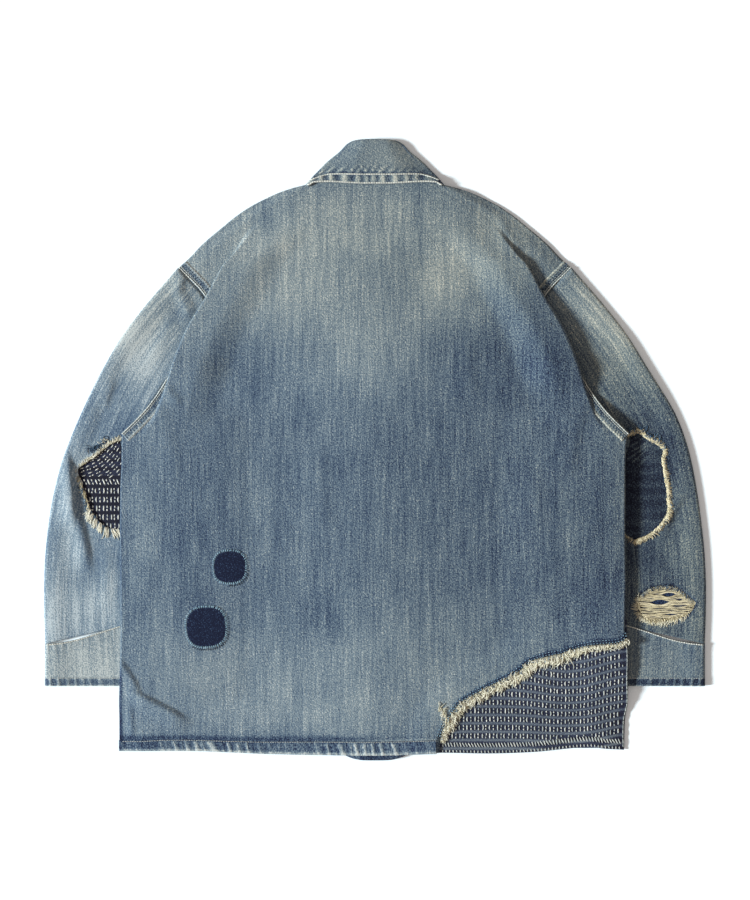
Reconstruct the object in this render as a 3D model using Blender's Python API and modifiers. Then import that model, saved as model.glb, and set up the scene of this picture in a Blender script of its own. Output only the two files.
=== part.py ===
"""Patched denim chore jacket, laid flat and face down on a table.

Run with: blender --background --python part.py
Units are metres, +Z is up, +Y points from the hem to the collar and +X to the wearer's right.
The origin is the centre of the bounding box, at the table.  The functions below work in
millimetres, and MM turns their points into metres.
"""
import math

import bmesh
import bpy
import numpy as np

MM = 0.001

# Driving dimensions, in millimetres.
WALL = 1.2                 # denim, one ply
BAND_WALL = 1.8            # cuffs, two plies pressed together
FALL_WALL = 2.2            # collar fall, two plies and the turnings
STAND_WALL = 2.0           # collar stand, two plies
PATCH_WALL = 1.0           # patch cloth
SEAM_GAP = 0.4             # between two pieces at a seam
BODY_HALF_WIDTH = 328.0    # side seam to centre
HEM_Y = -388.0
FRONT_DROP = 15.5          # how far the fronts hang below the back's hem, at the centre
UNDERARM_Y = 14.0
SHOULDER_Y = 237.0
NECK_POINT_Y = 347.0
NECK_RISE = 18.0           # the back's neck edge, centre over ends
LAP = 20.0                 # each front passes the centre by this much
CUFF_END_Y = -307.0
SLEEVE_TOP_Z = 4.0         # middle of a sleeve's upper wall
SLEEVE_GAP = 0.6           # from the body's armhole to the sleeve's head, across
SLEEVE_BULGE = 1.8         # how much higher a sleeve stands along its outer fold
CUFF_BULGE = 1.6
BACK_Z = 4.6               # middle of the back where nothing thick lies under it
OVER_SLEEVE = 5.9          # how much the sleeves' inner edges lift the body
OVER_LEAF = 2.6            # how much the collar's front leaves lift the fronts
OVER_BUTTONS = 2.9         # how much the buttons lift the left front
OVER_LAP = 4.7             # how much the lap lifts the right front
OVER_FRONTS = 3.0          # how much the lap and the throat lift the back
BACK_GAP = 1.2             # between front and back where the sleeves lie under them
PLEAT_RADIUS = 1.2
PLEAT_SHORTEST_BEND = 2.5
BUTTON_RADIUS = 8.5
BUTTON_HEIGHT = 2.5
BUTTON_ROWS_Y = (262.0, 137.0, 12.0, -113.0, -238.0)

DENIM = (0.16, 0.22, 0.30, 1.0)
PALE_DENIM = (0.34, 0.42, 0.46, 1.0)
DARK_PATCH = (0.012, 0.02, 0.06, 1.0)
STITCHED_PATCH = (0.05, 0.07, 0.12, 1.0)
METAL = (0.45, 0.42, 0.38, 1.0)

# The armhole seam, from the underarm up to the shoulder: x, y.
ARMHOLE = np.array((
    (328.0, 14.0),
    (309.0, 40.0),
    (289.0, 67.0),
    (268.0, 94.0),
    (232.0, 125.0),
    (214.0, 160.0),
    (220.0, 198.0),
    (255.0, 237.0),
))

# The shoulder line, from the armhole to the neck point: x, y.
SHOULDER = np.array((
    (255.0, 237.0),
    (237.0, 252.0),
    (221.0, 268.0),
    (195.0, 290.0),
    (158.0, 315.0),
    (122.0, 331.0),
    (88.0, 339.0),
    (70.0, 347.0),
))

# Heights of the rows below the armhole, hem first.
SIDE_ROWS_Y = (-388.0, -350.0, -312.0, -262.0, -241.0, -220.0, -170.0, -115.0, -60.0, -15.0)

# Heights of a front's rows above the armhole.
FRONT_NECK_ROWS_Y = (252.0, 262.0, 281.0, 290.0, 306.0, 315.0, 331.0, 339.0, 345.0)

# The pleat where the back folds out over the armhole: height, fold edge, turn of each bend in
# degrees, and length of the cloth between the bends.
PLEAT = np.array((
    (-388.0, 292.0, 2.0, 5.0),
    (-60.0, 296.0, 2.0, 5.0),
    (14.0, 300.0, 4.0, 5.0),
    (40.0, 290.0, 25.0, 4.0),
    (67.0, 280.0, 70.0, 2.0),
    (94.0, 271.0, 150.0, 6.0),
    (125.0, 258.0, 180.0, 32.0),
    (160.0, 243.0, 180.0, 34.0),
    (198.0, 220.0, 180.0, 16.0),
    (237.0, 199.0, 175.0, 6.0),
    (252.0, 186.0, 115.0, 2.0),
    (268.0, 173.0, 50.0, 3.0),
    (290.0, 155.0, 4.0, 5.0),
    (315.0, 120.0, 2.0, 5.0),
    (331.0, 88.0, 2.0, 5.0),
    (339.0, 60.0, 2.0, 4.0),
    (347.0, 44.0, 2.0, 4.0),
))

# The sleeve from armhole to cuff: outer edge x, y, inner edge x, y, how much of the armhole's
# hollow the section keeps, and how far it swells round the underarm before it turns under.
SLEEVE = np.array((
    (255.0, 237.0, 328.0, 14.0, 1.00, 0.0),
    (284.0, 189.0, 331.0, 0.0, 0.50, 26.0),
    (318.0, 149.0, 320.0, -18.0, 0.20, 32.0),
    (349.0, 109.0, 306.0, -40.0, 0.05, 38.0),
    (375.0, 62.0, 292.0, -62.0, 0.00, 40.0),
    (396.0, 14.0, 281.0, -88.0, 0.00, 26.0),
    (410.0, -27.0, 272.0, -112.0, 0.00, 12.0),
    (420.0, -70.0, 266.0, -136.0, 0.00, 4.0),
    (427.0, -120.0, 264.0, -162.0, 0.00, 0.0),
    (430.0, -168.0, 267.0, -186.0, 0.00, 0.0),
    (430.0, -212.0, 272.0, -204.0, 0.00, 0.0),
    (428.5, -252.0, 279.0, -218.0, 0.00, 0.0),
))

# The cuff's upper edge, from the outer edge to the inner one: x, y.
CUFF_TOP = np.array(((428.5, -252.6), (391.0, -244.1), (354.0, -235.6), (316.0, -227.1), (279.0, -218.6)))

# The collar from the centre back, round the side, to its front end: neck seam x, y, crease
# x, y, outer edge x, y, and the angle that has gone from the upper layer, 90, to the lower.
COLLAR = np.array((
    (0.0, 368.5, 0.0, 403.5, 0.0, 345.0, 90.0),
    (26.0, 366.8, 15.0, 403.2, 33.0, 344.5, 90.0),
    (47.0, 362.5, 28.0, 401.4, 62.0, 343.6, 90.0),
    (64.0, 356.0, 35.5, 397.5, 80.0, 342.6, 90.0),
    (69.4, 352.4, 38.0, 395.0, 86.0, 342.0, 90.0),
    (69.4, 352.0, 38.0, 394.3, 86.2, 341.5, 45.0),
    (69.4, 351.6, 38.0, 393.6, 86.3, 341.0, 0.0),
    (69.4, 351.2, 38.0, 392.8, 86.4, 340.5, -45.0),
    (69.4, 350.8, 38.0, 392.0, 86.5, 340.0, -90.0),
    (50.0, 306.5, 29.0, 358.0, 96.0, 300.0, -90.0),
    (32.0, 291.5, 20.0, 325.0, 84.0, 264.0, -90.0),
    (13.0, 286.5, 10.0, 302.0, 30.0, 284.0, -90.0),
))
COLLAR_MIDDLE_Z = 5.5
STAND_HALF_HEIGHT = 1.6    # from the collar's middle to the middle of either layer
FALL_HALF_HEIGHT = 4.4
COLLAR_SIDE = (0.8, 0.6)   # the way its sides face, in plan

# The tear across the lower right corner of the back: x, y.
CORNER_TEAR = (
    (81.0, -395.0), (83.0, -363.0), (92.0, -344.0), (106.0, -331.0), (131.0, -317.0),
    (154.0, -307.0), (183.0, -291.0), (201.0, -274.0), (215.0, -266.0), (239.0, -262.0),
    (261.0, -253.0), (284.0, -249.0), (305.0, -245.0), (319.0, -237.0), (335.0, -226.0),
)
TEAR_LIFT = 2.2            # the back rides this much higher along the tear, over the patch
TEAR_BAND = 30.0
CORNER_PATCH_LEFT = (
    (-388.0, 56.0), (-350.0, 68.0), (-312.0, 122.0), (-287.0, 165.0), (-262.0, 212.0),
    (-241.0, 250.0), (-220.0, 290.0),
)

# Name, centre x and y, and half width of each round patch.
ROUND_PATCHES = (
    ("patch_round_upper", -189.0, -152.0, 21.0),
    ("patch_round_lower", -219.0, -230.0, 26.0),
)
ROUND_PATCH_POWER = 2.6    # 2 would be a circle, and more is squarer

# The open elbows and the rip in the right sleeve: x, y, each in its own sleeve.
LEFT_ELBOW_HOLE = (
    (-336.0, 2.0), (-346.0, 6.0), (-363.0, -7.0), (-376.0, -15.0), (-387.0, -26.0),
    (-382.0, -44.0), (-376.0, -61.0), (-371.0, -76.0), (-362.0, -90.0), (-350.0, -101.0),
    (-332.0, -103.0), (-324.0, -98.0), (-322.0, -50.0), (-328.0, -20.0),
)
RIGHT_ELBOW_HOLE = (
    (336.0, 2.0), (341.0, 13.0), (350.0, 17.0), (357.0, 14.0), (368.0, 6.0), (375.0, -3.0),
    (376.0, -33.0), (380.0, -60.0), (380.0, -81.0), (372.0, -96.0), (360.0, -108.0),
    (344.0, -116.0), (325.0, -108.0), (322.0, -50.0), (328.0, -20.0),
)
ELBOW_PATCH = (            # y, inner x, outer x
    (-126.0, 300.0, 396.0), (-80.0, 306.0, 402.0), (-50.0, 314.0, 400.0), (-20.0, 328.0, 394.0),
    (4.0, 338.0, 386.0), (24.0, 348.0, 368.0),
)
SLEEVE_RIP = (
    (344.0, -190.0), (362.0, -178.0), (389.0, -178.0), (400.0, -186.0), (418.0, -198.0),
    (404.0, -217.0), (374.0, -224.0), (351.0, -222.0), (341.0, -207.0),
)


def remove_default_objects():
    for leftover in list(bpy.data.objects):
        bpy.data.objects.remove(leftover)


def cloth_material(name, colour, roughness=0.85, metallic=0.0):
    material = bpy.data.materials.new(name)
    material.use_nodes = True
    shader = material.node_tree.nodes["Principled BSDF"]
    shader.inputs["Base Color"].default_value = colour
    shader.inputs["Roughness"].default_value = roughness
    shader.inputs["Metallic"].default_value = metallic
    return material


def step(value, low, high):
    """0 at low, 1 at high, and an S-curve between."""
    t = np.clip((value - low) / (high - low), 0.0, 1.0)
    return t * t * (3.0 - 2.0 * t)


def distance_to_path(x, y, path):
    """Shortest distance in plan from each point to a path of straight runs."""
    nearest = np.full(np.shape(x), np.inf)
    for (ax, ay), (bx, by) in zip(path[:-1], path[1:]):
        run_x = bx - ax
        run_y = by - ay
        t = ((x - ax) * run_x + (y - ay) * run_y) / (run_x ** 2 + run_y ** 2)
        t = np.clip(t, 0.0, 1.0)
        nearest = np.minimum(nearest, np.hypot(x - ax - t * run_x, y - ay - t * run_y))
    return nearest


def outline_x(y):
    """Half width of the body at height y: side seam, armhole, then shoulder."""
    edge = np.vstack(((BODY_HALF_WIDTH, HEM_Y), ARMHOLE, SHOULDER[1:]))
    return np.interp(y, edge[:, 1], edge[:, 0])


# ---------------------------------------------------------------- how high each layer lies

def lift_over_sleeve(x, y):
    """The body lies on the sleeves' inner edges, between the underarm and the cuffs."""
    across = step(np.abs(x), 205.0, 255.0)
    upper = 1.0 - step(y, UNDERARM_Y + 4.0, 94.0)
    lower = step(y, -352.0, CUFF_END_Y - 4.0)
    return OVER_SLEEVE * across * upper * lower


def lift_over_leaf(x, y):
    """The fronts lie on the collar's front leaves."""
    return OVER_LEAF * step(y, 232.0, 260.0) * (1.0 - step(np.abs(x), 112.0, 150.0))


def front_height(x, y, above_other_front):
    """Middle of a front.  At the centre it clears the buttons, and the upper front the lower."""
    if above_other_front:
        placket = OVER_LAP * (1.0 - step(np.abs(x), 34.0, 90.0))
    else:
        placket = OVER_BUTTONS * (1.0 - step(np.abs(x), 21.0, 60.0))
    lift = np.maximum(lift_over_sleeve(x, y), lift_over_leaf(x, y))
    return 0.5 * WALL + np.maximum(lift, placket)


def back_height(x, y):
    """Middle of the back, before the pleat.  Its side and shoulder edges sink onto the front."""
    over_sleeve = 0.5 * WALL + lift_over_sleeve(x, y) + WALL + BACK_GAP
    over_placket = BACK_Z + OVER_FRONTS * np.exp(-(x / 85.0) ** 2)
    throat = step(y, 225.0, 275.0) * (1.0 - step(np.abs(x), 100.0, 170.0))
    over_neck = BACK_Z + OVER_FRONTS * throat
    level = np.maximum(np.maximum(over_sleeve, over_placket), over_neck)
    seam = 0.5 * WALL + np.maximum(lift_over_sleeve(x, y), lift_over_leaf(x, y)) + WALL + SEAM_GAP
    inside = step(outline_x(y) - np.abs(x), 0.0, 26.0)
    armhole = step(y, UNDERARM_Y, 40.0) * (1.0 - step(y, SHOULDER_Y - 10.0, 252.0))
    over_stand = step(y, 295.0, 325.0) * (1.0 - step(np.abs(x), 74.0, 104.0))
    inside = np.maximum(inside, np.maximum(armhole, over_stand))
    return seam + (np.maximum(level, seam) - seam) * inside


# ---------------------------------------------------------------- meshes

def grid_piece(name, points, wall, material, collection, ring=False):
    """A panel: a grid moved to points (rows x columns x 3, millimetres), given its wall.

    With ring set, the first and last columns are the same and are joined into a tube.
    """
    rows, columns = points.shape[:2]
    mesh = bpy.data.meshes.new(name)
    panel = bmesh.new()
    bmesh.ops.create_grid(panel, x_segments=columns - 1, y_segments=rows - 1, size=1.0)
    for vertex, place in zip(panel.verts, points.reshape(-1, 3)):
        vertex.co = place * MM
    if ring:
        bmesh.ops.remove_doubles(panel, verts=panel.verts, dist=0.00001)
    panel.to_mesh(mesh)
    panel.free()
    piece = bpy.data.objects.new(name, mesh)
    piece.data.materials.append(material)
    collection.objects.link(piece)
    shell = piece.modifiers.new("Wall", "SOLIDIFY")
    shell.thickness = wall * MM
    shell.offset = 0.0
    return piece


def outline_cutter(name, outline, low, high, collection):
    """A prism over a flat outline, from low to high, that cuts and is not built itself."""
    curve = bpy.data.curves.new(name, "CURVE")
    curve.dimensions = "2D"
    curve.fill_mode = "BOTH"
    curve.extrude = 0.5 * (high - low) * MM
    spline = curve.splines.new("POLY")
    spline.points.add(len(outline) - 1)
    for point, (x, y) in zip(spline.points, outline):
        point.co = (x * MM, y * MM, 0.0, 1.0)
    spline.use_cyclic_u = True
    drawn = bpy.data.objects.new(name + "_outline", curve)
    collection.objects.link(drawn)
    drawn.location.z = 0.5 * (low + high) * MM
    bpy.context.view_layer.update()
    evaluated = drawn.evaluated_get(bpy.context.evaluated_depsgraph_get())
    mesh = bpy.data.meshes.new_from_object(evaluated)
    solid = bmesh.new()
    solid.from_mesh(mesh)
    bmesh.ops.remove_doubles(solid, verts=solid.verts, dist=0.00001)
    bmesh.ops.recalc_face_normals(solid, faces=solid.faces)
    solid.to_mesh(mesh)
    solid.free()
    cutter = bpy.data.objects.new(name, mesh)
    cutter.matrix_world = drawn.matrix_world
    collection.objects.link(cutter)
    bpy.data.objects.remove(drawn)
    cutter.hide_render = True
    cutter.display_type = "WIRE"
    return cutter


def cut(piece, cutter):
    boolean = piece.modifiers.new("Cut by " + cutter.name, "BOOLEAN")
    boolean.operation = "DIFFERENCE"
    boolean.solver = "EXACT"
    boolean.object = cutter


# ---------------------------------------------------------------- back

def back_half_row(y):
    """One row of the back from the centre out: x along the table, and height above back_height.

    The cloth runs flat to the fold edge, bends down, runs back, bends again and runs out to
    the seam.  Where the turn is small the two bends are only a soft step.
    """
    fold_x, turn, between = (np.interp(y, PLEAT[:, 0], PLEAT[:, c]) for c in (1, 2, 3))
    turn = math.radians(turn)
    radius = max(PLEAT_RADIUS, PLEAT_SHORTEST_BEND / turn)
    drop = 2.0 * radius * (1.0 - math.cos(turn)) + between * math.sin(turn)
    start = fold_x - radius * math.sin(min(turn, 0.5 * math.pi))
    bend = turn * np.linspace(0.0, 1.0, 4)
    flat_x = start * np.array((0.0, 0.2, 0.42, 0.64, 0.82, 0.93))
    flat_z = drop * step(flat_x, start - 80.0, start - 36.0)
    first_x = start + radius * np.sin(bend)
    first_z = drop - radius * (1.0 - np.cos(bend))
    second_x = first_x[-1] + between * math.cos(turn) + radius * (math.sin(turn) - np.sin(turn - bend))
    second_z = radius * (1.0 - np.cos(turn - bend))
    seam_x = outline_x(y)
    out_x = second_x[-1] + (seam_x - second_x[-1]) * np.array((0.55, 1.0))
    x = np.concatenate((flat_x, first_x, second_x, out_x))
    z = np.concatenate((flat_z, first_z, second_z, (0.0, 0.0)))
    return x, z


def back_points():
    rows_y = SIDE_ROWS_Y + tuple(ARMHOLE[:, 1]) + tuple(SHOULDER[1:, 1])
    rows = []
    for y in rows_y:
        x, extra = back_half_row(y)
        x = np.concatenate((-x[:0:-1], x))
        extra = np.concatenate((extra[:0:-1], extra))
        rise = NECK_RISE * step(y, 325.0, NECK_POINT_Y)
        row_y = y + rise * (1.0 - (x / outline_x(y)) ** 2)
        height = back_height(x, np.full(x.shape, y))
        near_tear = distance_to_path(x, row_y, CORNER_TEAR) / TEAR_BAND
        height = height + TEAR_LIFT * (1.0 - step(near_tear, 0.6, 1.6))
        rows.append(np.column_stack((x, row_y, height + extra)))
    return np.array(rows)


def on_back(x, y, points):
    """Height of the back's middle at x, y, from its own rows.  For flat parts of it only."""
    rows_y = points[:, 0, 1]
    upper = int(np.searchsorted(rows_y, y))
    lower = upper - 1
    share = (y - rows_y[lower]) / (rows_y[upper] - rows_y[lower])
    heights = [np.interp(x, points[row, :, 0], points[row, :, 2]) for row in (lower, upper)]
    return heights[0] + (heights[1] - heights[0]) * share


def make_back(collection, cutters, material):
    points = back_points()
    back = grid_piece("back", points, WALL, material, collection)
    beyond = CORNER_TEAR + ((360.0, -226.0), (360.0, -420.0), (81.0, -420.0))
    cut(back, outline_cutter("corner_tear", beyond, -5.0, 30.0, cutters))
    return points


# ---------------------------------------------------------------- fronts

def neck_edge_x(y):
    """Inner edge of a front: past the centre to the throat, then out along the neckline."""
    heights = (HEM_Y, 262.0, 281.0, 290.0, 306.0, 315.0, 331.0, 339.0, NECK_POINT_Y - 2.0)
    inner = (-LAP, -LAP, 10.0, 33.0, 52.0, 57.0, 64.0, 67.0, 70.0)
    return np.interp(y, heights, inner)


def front_points(side, above_other_front):
    """side is +1 for the wearer's right front and -1 for the left."""
    rows_y = SIDE_ROWS_Y + tuple(ARMHOLE[:, 1]) + FRONT_NECK_ROWS_Y
    share = np.array((0.0, 0.06, 0.14, 0.3, 0.5, 0.68, 0.8, 0.88, 0.96, 1.0))
    rows = []
    for y in rows_y:
        inner = neck_edge_x(y)
        x = inner + (outline_x(y) - inner) * share
        height = front_height(x, np.full(x.shape, y), above_other_front)
        drop = FRONT_DROP * (1.0 - step(y, HEM_Y, HEM_Y + 60.0)) * np.exp(-(x / 46.0) ** 4)
        rows.append(np.column_stack((side * x, y - drop, height)))
    return np.array(rows)


def make_fronts(collection, material):
    grid_piece("front_left", front_points(-1.0, False), WALL, material, collection)
    grid_piece("front_right", front_points(1.0, True), WALL, material, collection)


# ---------------------------------------------------------------- sleeves and cuffs

def ring_row(plan, wall, bulge):
    """A flattened ring over a plan line that runs from the outer edge to the inner one.

    The lower wall lies on the table, the upper one over it, and both ends are round folds.
    """
    low = 0.5 * wall
    high = SLEEVE_TOP_Z + 0.5 * (wall - WALL)
    along = np.hypot(*(plan - plan[0]).T)
    upper_z = high + bulge * np.exp(-((along - 12.0) / 16.0) ** 2)
    upper = np.column_stack((plan, upper_z))
    lower = np.column_stack((plan, np.full(len(plan), low)))
    for end in (0, -1):
        upper[end, 2] = 0.5 * (low + high)
    return np.concatenate((upper, lower[-2:0:-1], upper[:1]))


def with_fold_points(plan, reach):
    """Adds a point close to each end of a plan line, where the fold's bend begins."""
    first = plan[0] + reach * (plan[1] - plan[0]) / np.hypot(*(plan[1] - plan[0]))
    last = plan[-1] + reach * (plan[-2] - plan[-1]) / np.hypot(*(plan[-2] - plan[-1]))
    return np.vstack((plan[:1], first, plan[1:-1], last, plan[-1:]))


def sleeve_points(side):
    seam = ARMHOLE[::-1]
    length = np.concatenate(((0.0,), np.cumsum(np.hypot(*np.diff(seam, axis=0).T))))
    share = (length / length[-1])[:, None]
    hollow = seam - (seam[0] + (seam[-1] - seam[0]) * share)
    swell = 7.9 * share[:, 0] ** 2.5 * (1.0 - share[:, 0])
    rows = []
    for outer_x, outer_y, inner_x, inner_y, keep, hook in SLEEVE:
        outer = np.array((outer_x, outer_y))
        inner = np.array((inner_x, inner_y))
        plan = outer + (inner - outer) * share + keep * hollow
        plan[:, 0] += SLEEVE_GAP * keep + hook * swell
        plan = with_fold_points(plan, 2.2)
        ring = ring_row(plan, WALL, SLEEVE_BULGE)
        ring[:, 0] *= side
        rows.append(ring)
    return np.array(rows)


def cuff_points(side):
    bottom = CUFF_TOP.copy()
    bottom[:, 1] = CUFF_END_Y
    rows = []
    for share in (0.0, 0.4, 1.0):
        plan = with_fold_points(CUFF_TOP + (bottom - CUFF_TOP) * share, 3.0)
        ring = ring_row(plan, BAND_WALL, CUFF_BULGE)
        ring[:, 0] *= side
        rows.append(ring)
    return np.array(rows)


def make_sleeves(collection, cutters, material):
    holes = {
        "left": (("left_elbow_hole", LEFT_ELBOW_HOLE),),
        "right": (("right_elbow_hole", RIGHT_ELBOW_HOLE), ("sleeve_rip", SLEEVE_RIP)),
    }
    for name, side in (("left", -1.0), ("right", 1.0)):
        sleeve = grid_piece("sleeve_" + name, sleeve_points(side), WALL, material, collection, ring=True)
        grid_piece("cuff_" + name, cuff_points(side), BAND_WALL, material, collection, ring=True)
        for hole, outline in holes[name]:
            cut(sleeve, outline_cutter(hole, outline, 3.0, 12.0, cutters))


# ---------------------------------------------------------------- collar

def collar_points(first, last, half_height, shares):
    """Rows from one edge of a band to the other, each right round the neck.

    first and last are the columns of COLLAR where each edge's x stands.
    """
    turn = np.radians(COLLAR[:, 6])
    out = half_height * np.cos(turn)
    height = COLLAR_MIDDLE_Z + half_height * np.sin(turn)
    rows = []
    for share in shares:
        plan = COLLAR[:, first:first + 2] * (1.0 - share) + COLLAR[:, last:last + 2] * share
        plan = plan + out[:, None] * np.array(COLLAR_SIDE)
        half = np.column_stack((plan, height))
        left = half[:0:-1] * np.array((-1.0, 1.0, 1.0))
        rows.append(np.concatenate((left, half)))
    return np.array(rows)


def make_collar(collection, material):
    """The stand rises from the neck seam to the crease, and the fall comes down over it."""
    stand = collar_points(0, 2, STAND_HALF_HEIGHT, (0.0, 0.5, 1.0))
    grid_piece("collar_stand", stand, STAND_WALL, material, collection)
    fall = collar_points(2, 4, FALL_HALF_HEIGHT, (0.0, 0.35, 0.7, 1.0))
    grid_piece("collar_fall", fall, FALL_WALL, material, collection)


# ---------------------------------------------------------------- patches

def make_corner_patch(collection, material):
    """Stitched cloth under the torn corner, from the tear's turning to side seam and hem."""
    share = np.linspace(0.0, 1.0, 8)
    rows = []
    for y, left in CORNER_PATCH_LEFT:
        x = left + (BODY_HALF_WIDTH - left) * share
        rows.append(np.column_stack((x, np.full(x.shape, y), back_height(x, np.full(x.shape, y)))))
    grid_piece("patch_hem_corner", np.array(rows), PATCH_WALL, material, collection)


def make_round_patches(back, collection, material):
    """Rounded squares on the back: each ring of points is a superellipse, moved off the back."""
    for name, centre_x, centre_y, radius in ROUND_PATCHES:
        mesh = bpy.data.meshes.new(name)
        disc = bmesh.new()
        bmesh.ops.create_circle(disc, cap_ends=True, cap_tris=True, segments=20, radius=1.0)
        for vertex in disc.verts:
            angle = math.atan2(vertex.co.y, vertex.co.x)
            reach = radius * vertex.co.length
            power = ROUND_PATCH_POWER
            reach /= (abs(math.cos(angle)) ** power + abs(math.sin(angle)) ** power) ** (1.0 / power)
            x = centre_x + reach * math.cos(angle)
            y = centre_y + reach * math.sin(angle)
            z = on_back(x, y, back) + 0.5 * WALL + SEAM_GAP + 0.5 * PATCH_WALL
            vertex.co = (x * MM, y * MM, z * MM)
        disc.to_mesh(mesh)
        disc.free()
        patch = bpy.data.objects.new(name, mesh)
        patch.data.materials.append(material)
        collection.objects.link(patch)
        shell = patch.modifiers.new("Wall", "SOLIDIFY")
        shell.thickness = PATCH_WALL * MM
        shell.offset = 0.0


def make_elbow_patches(collection, stitched, plain):
    """Each lies inside its sleeve, a little larger than the hole over it."""
    for name, side, material in (("patch_elbow_left", -1.0, stitched), ("patch_elbow_right", 1.0, plain)):
        rows = []
        for y, inner, outer in ELBOW_PATCH:
            x = np.linspace(inner, outer, 4)
            z = 0.5 * (0.5 * WALL + SLEEVE_TOP_Z)
            rows.append(np.column_stack((side * x, np.full(4, y), np.full(4, z))))
        grid_piece(name, np.array(rows), PATCH_WALL, material, collection)


# ---------------------------------------------------------------- buttons

def make_buttons(collection, material):
    """Plain turned buttons, their faces on the table, under the left front's lap."""
    profile = (
        (0.0, BUTTON_HEIGHT), (6.6, BUTTON_HEIGHT), (8.1, 2.0), (BUTTON_RADIUS, 1.2),
        (7.8, 0.3), (7.0, 0.0), (0.0, 0.0),
    )
    for number, y in enumerate(BUTTON_ROWS_Y, start=1):
        name = "button_%d" % number
        mesh = bpy.data.meshes.new(name)
        edges = [(i, i + 1) for i in range(len(profile) - 1)]
        mesh.from_pydata([(radius * MM, 0.0, z * MM) for radius, z in profile], edges, [])
        button = bpy.data.objects.new(name, mesh)
        button.location = (0.0, y * MM, 0.0)
        button.data.materials.append(material)
        collection.objects.link(button)
        turn = button.modifiers.new("Turn", "SCREW")
        turn.steps = 12
        turn.render_steps = 12
        turn.use_merge_vertices = True
        turn.merge_threshold = 0.00001


def build():
    remove_default_objects()
    jacket = bpy.data.collections.new("patched_jacket")
    cutters = bpy.data.collections.new("cutters")
    bpy.context.scene.collection.children.link(jacket)
    bpy.context.scene.collection.children.link(cutters)
    denim = cloth_material("denim", DENIM)
    pale_denim = cloth_material("pale_denim", PALE_DENIM)
    dark_patch = cloth_material("dark_patch", DARK_PATCH)
    stitched_patch = cloth_material("stitched_patch", STITCHED_PATCH)
    metal = cloth_material("button_metal", METAL, roughness=0.4, metallic=1.0)

    back = make_back(jacket, cutters, denim)
    make_fronts(jacket, denim)
    make_sleeves(jacket, cutters, pale_denim)
    make_collar(jacket, denim)
    make_corner_patch(jacket, stitched_patch)
    make_round_patches(back, jacket, dark_patch)
    make_elbow_patches(jacket, stitched_patch, dark_patch)
    make_buttons(jacket, metal)


build()
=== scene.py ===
"""The looks of the patched denim jacket, laid flat and face down on a white table.

Lengths are in millimetres until quad_mesh() and cloth() turn them into metres with MM.
+X is the wearer's right, +Y runs from hem to collar and +Z is up, out of the jacket's back.
"""

import math

import bpy
import numpy as np
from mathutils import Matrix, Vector


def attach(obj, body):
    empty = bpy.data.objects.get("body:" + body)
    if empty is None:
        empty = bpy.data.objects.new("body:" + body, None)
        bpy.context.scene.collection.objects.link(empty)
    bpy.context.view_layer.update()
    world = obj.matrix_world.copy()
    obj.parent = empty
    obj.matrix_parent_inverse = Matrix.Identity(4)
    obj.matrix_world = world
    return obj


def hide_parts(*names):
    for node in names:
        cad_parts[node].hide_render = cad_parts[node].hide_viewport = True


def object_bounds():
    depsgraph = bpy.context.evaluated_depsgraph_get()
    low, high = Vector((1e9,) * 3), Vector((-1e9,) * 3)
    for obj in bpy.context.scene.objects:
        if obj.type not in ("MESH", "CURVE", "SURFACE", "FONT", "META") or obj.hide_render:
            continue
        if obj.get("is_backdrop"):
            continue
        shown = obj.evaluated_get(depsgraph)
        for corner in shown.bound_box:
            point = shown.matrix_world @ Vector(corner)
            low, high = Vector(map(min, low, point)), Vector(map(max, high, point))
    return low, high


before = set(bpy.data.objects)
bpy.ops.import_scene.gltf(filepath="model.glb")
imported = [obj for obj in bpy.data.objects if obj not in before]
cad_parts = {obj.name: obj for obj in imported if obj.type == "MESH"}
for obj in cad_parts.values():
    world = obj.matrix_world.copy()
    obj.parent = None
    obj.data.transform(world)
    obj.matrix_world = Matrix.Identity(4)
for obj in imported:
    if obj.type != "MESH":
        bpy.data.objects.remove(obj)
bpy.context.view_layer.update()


# ================================================================ table, light and camera
# A sheet of white paper on a table.  One bright lamp stands low on the wearer's left, and the
# room's own light, a little warm, fills the shadows.  The camera looks straight down.

def wire(tree, kind, settings=None, **inputs):
    """A new shader node.  settings are its properties; inputs are its sockets, by name with _ for
    a space or by number as n0, n1 and so on, each a value or another node's socket."""
    node = tree.nodes.new("ShaderNode" + kind)
    for name, value in (settings or {}).items():
        setattr(node, name, value)
    for name, value in inputs.items():
        numbered = name[0] == "n" and name[1:].isdigit()
        socket = node.inputs[int(name[1:]) if numbered else name.replace("_", " ")]
        if isinstance(value, bpy.types.NodeSocket):
            tree.links.new(value, socket)
        else:
            socket.default_value = value
    return node


def dress(tree, shader, colour, height, strength, depth):
    """A material's colour, and the height that roughens its surface: depth in metres."""
    relief = wire(tree, "Bump", Strength=strength, Distance=depth, Height=height)
    tree.links.new(colour, shader.inputs["Base Color"])
    tree.links.new(relief.outputs[0], shader.inputs["Normal"])


def surface(name, roughness=0.9, metallic=0.0):
    """A new material, its node tree and its Principled shader."""
    material = bpy.data.materials.new(name)
    material.use_nodes = True
    shader = material.node_tree.nodes["Principled BSDF"]
    shader.inputs["Roughness"].default_value = roughness
    shader.inputs["Metallic"].default_value = metallic
    return material, material.node_tree, shader


LAMP_HEIGHT = math.radians(26.0)     # above the table
LAMP_BEARING = math.radians(186.0)   # where it stands, seen from above, from +X to +Y
LAMP_WIDTH = math.radians(11.0)      # as seen from the table; it softens the shadows' edges
LAMP_COLOUR = (0.955, 1.0, 1.015)
LAMP_LEVEL = 0.70                    # of the light on the table; the room gives the rest
ROOM_LEVEL = 0.36
CAMERA_HEIGHT = 2.768                # metres
TABLE_HALF = 6.0                     # metres
TABLE_Z = -0.0003                    # just below what lies on it
PAPER_GLOW = 0.06

bpy.context.scene.view_settings.view_transform = "Standard"

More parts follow.
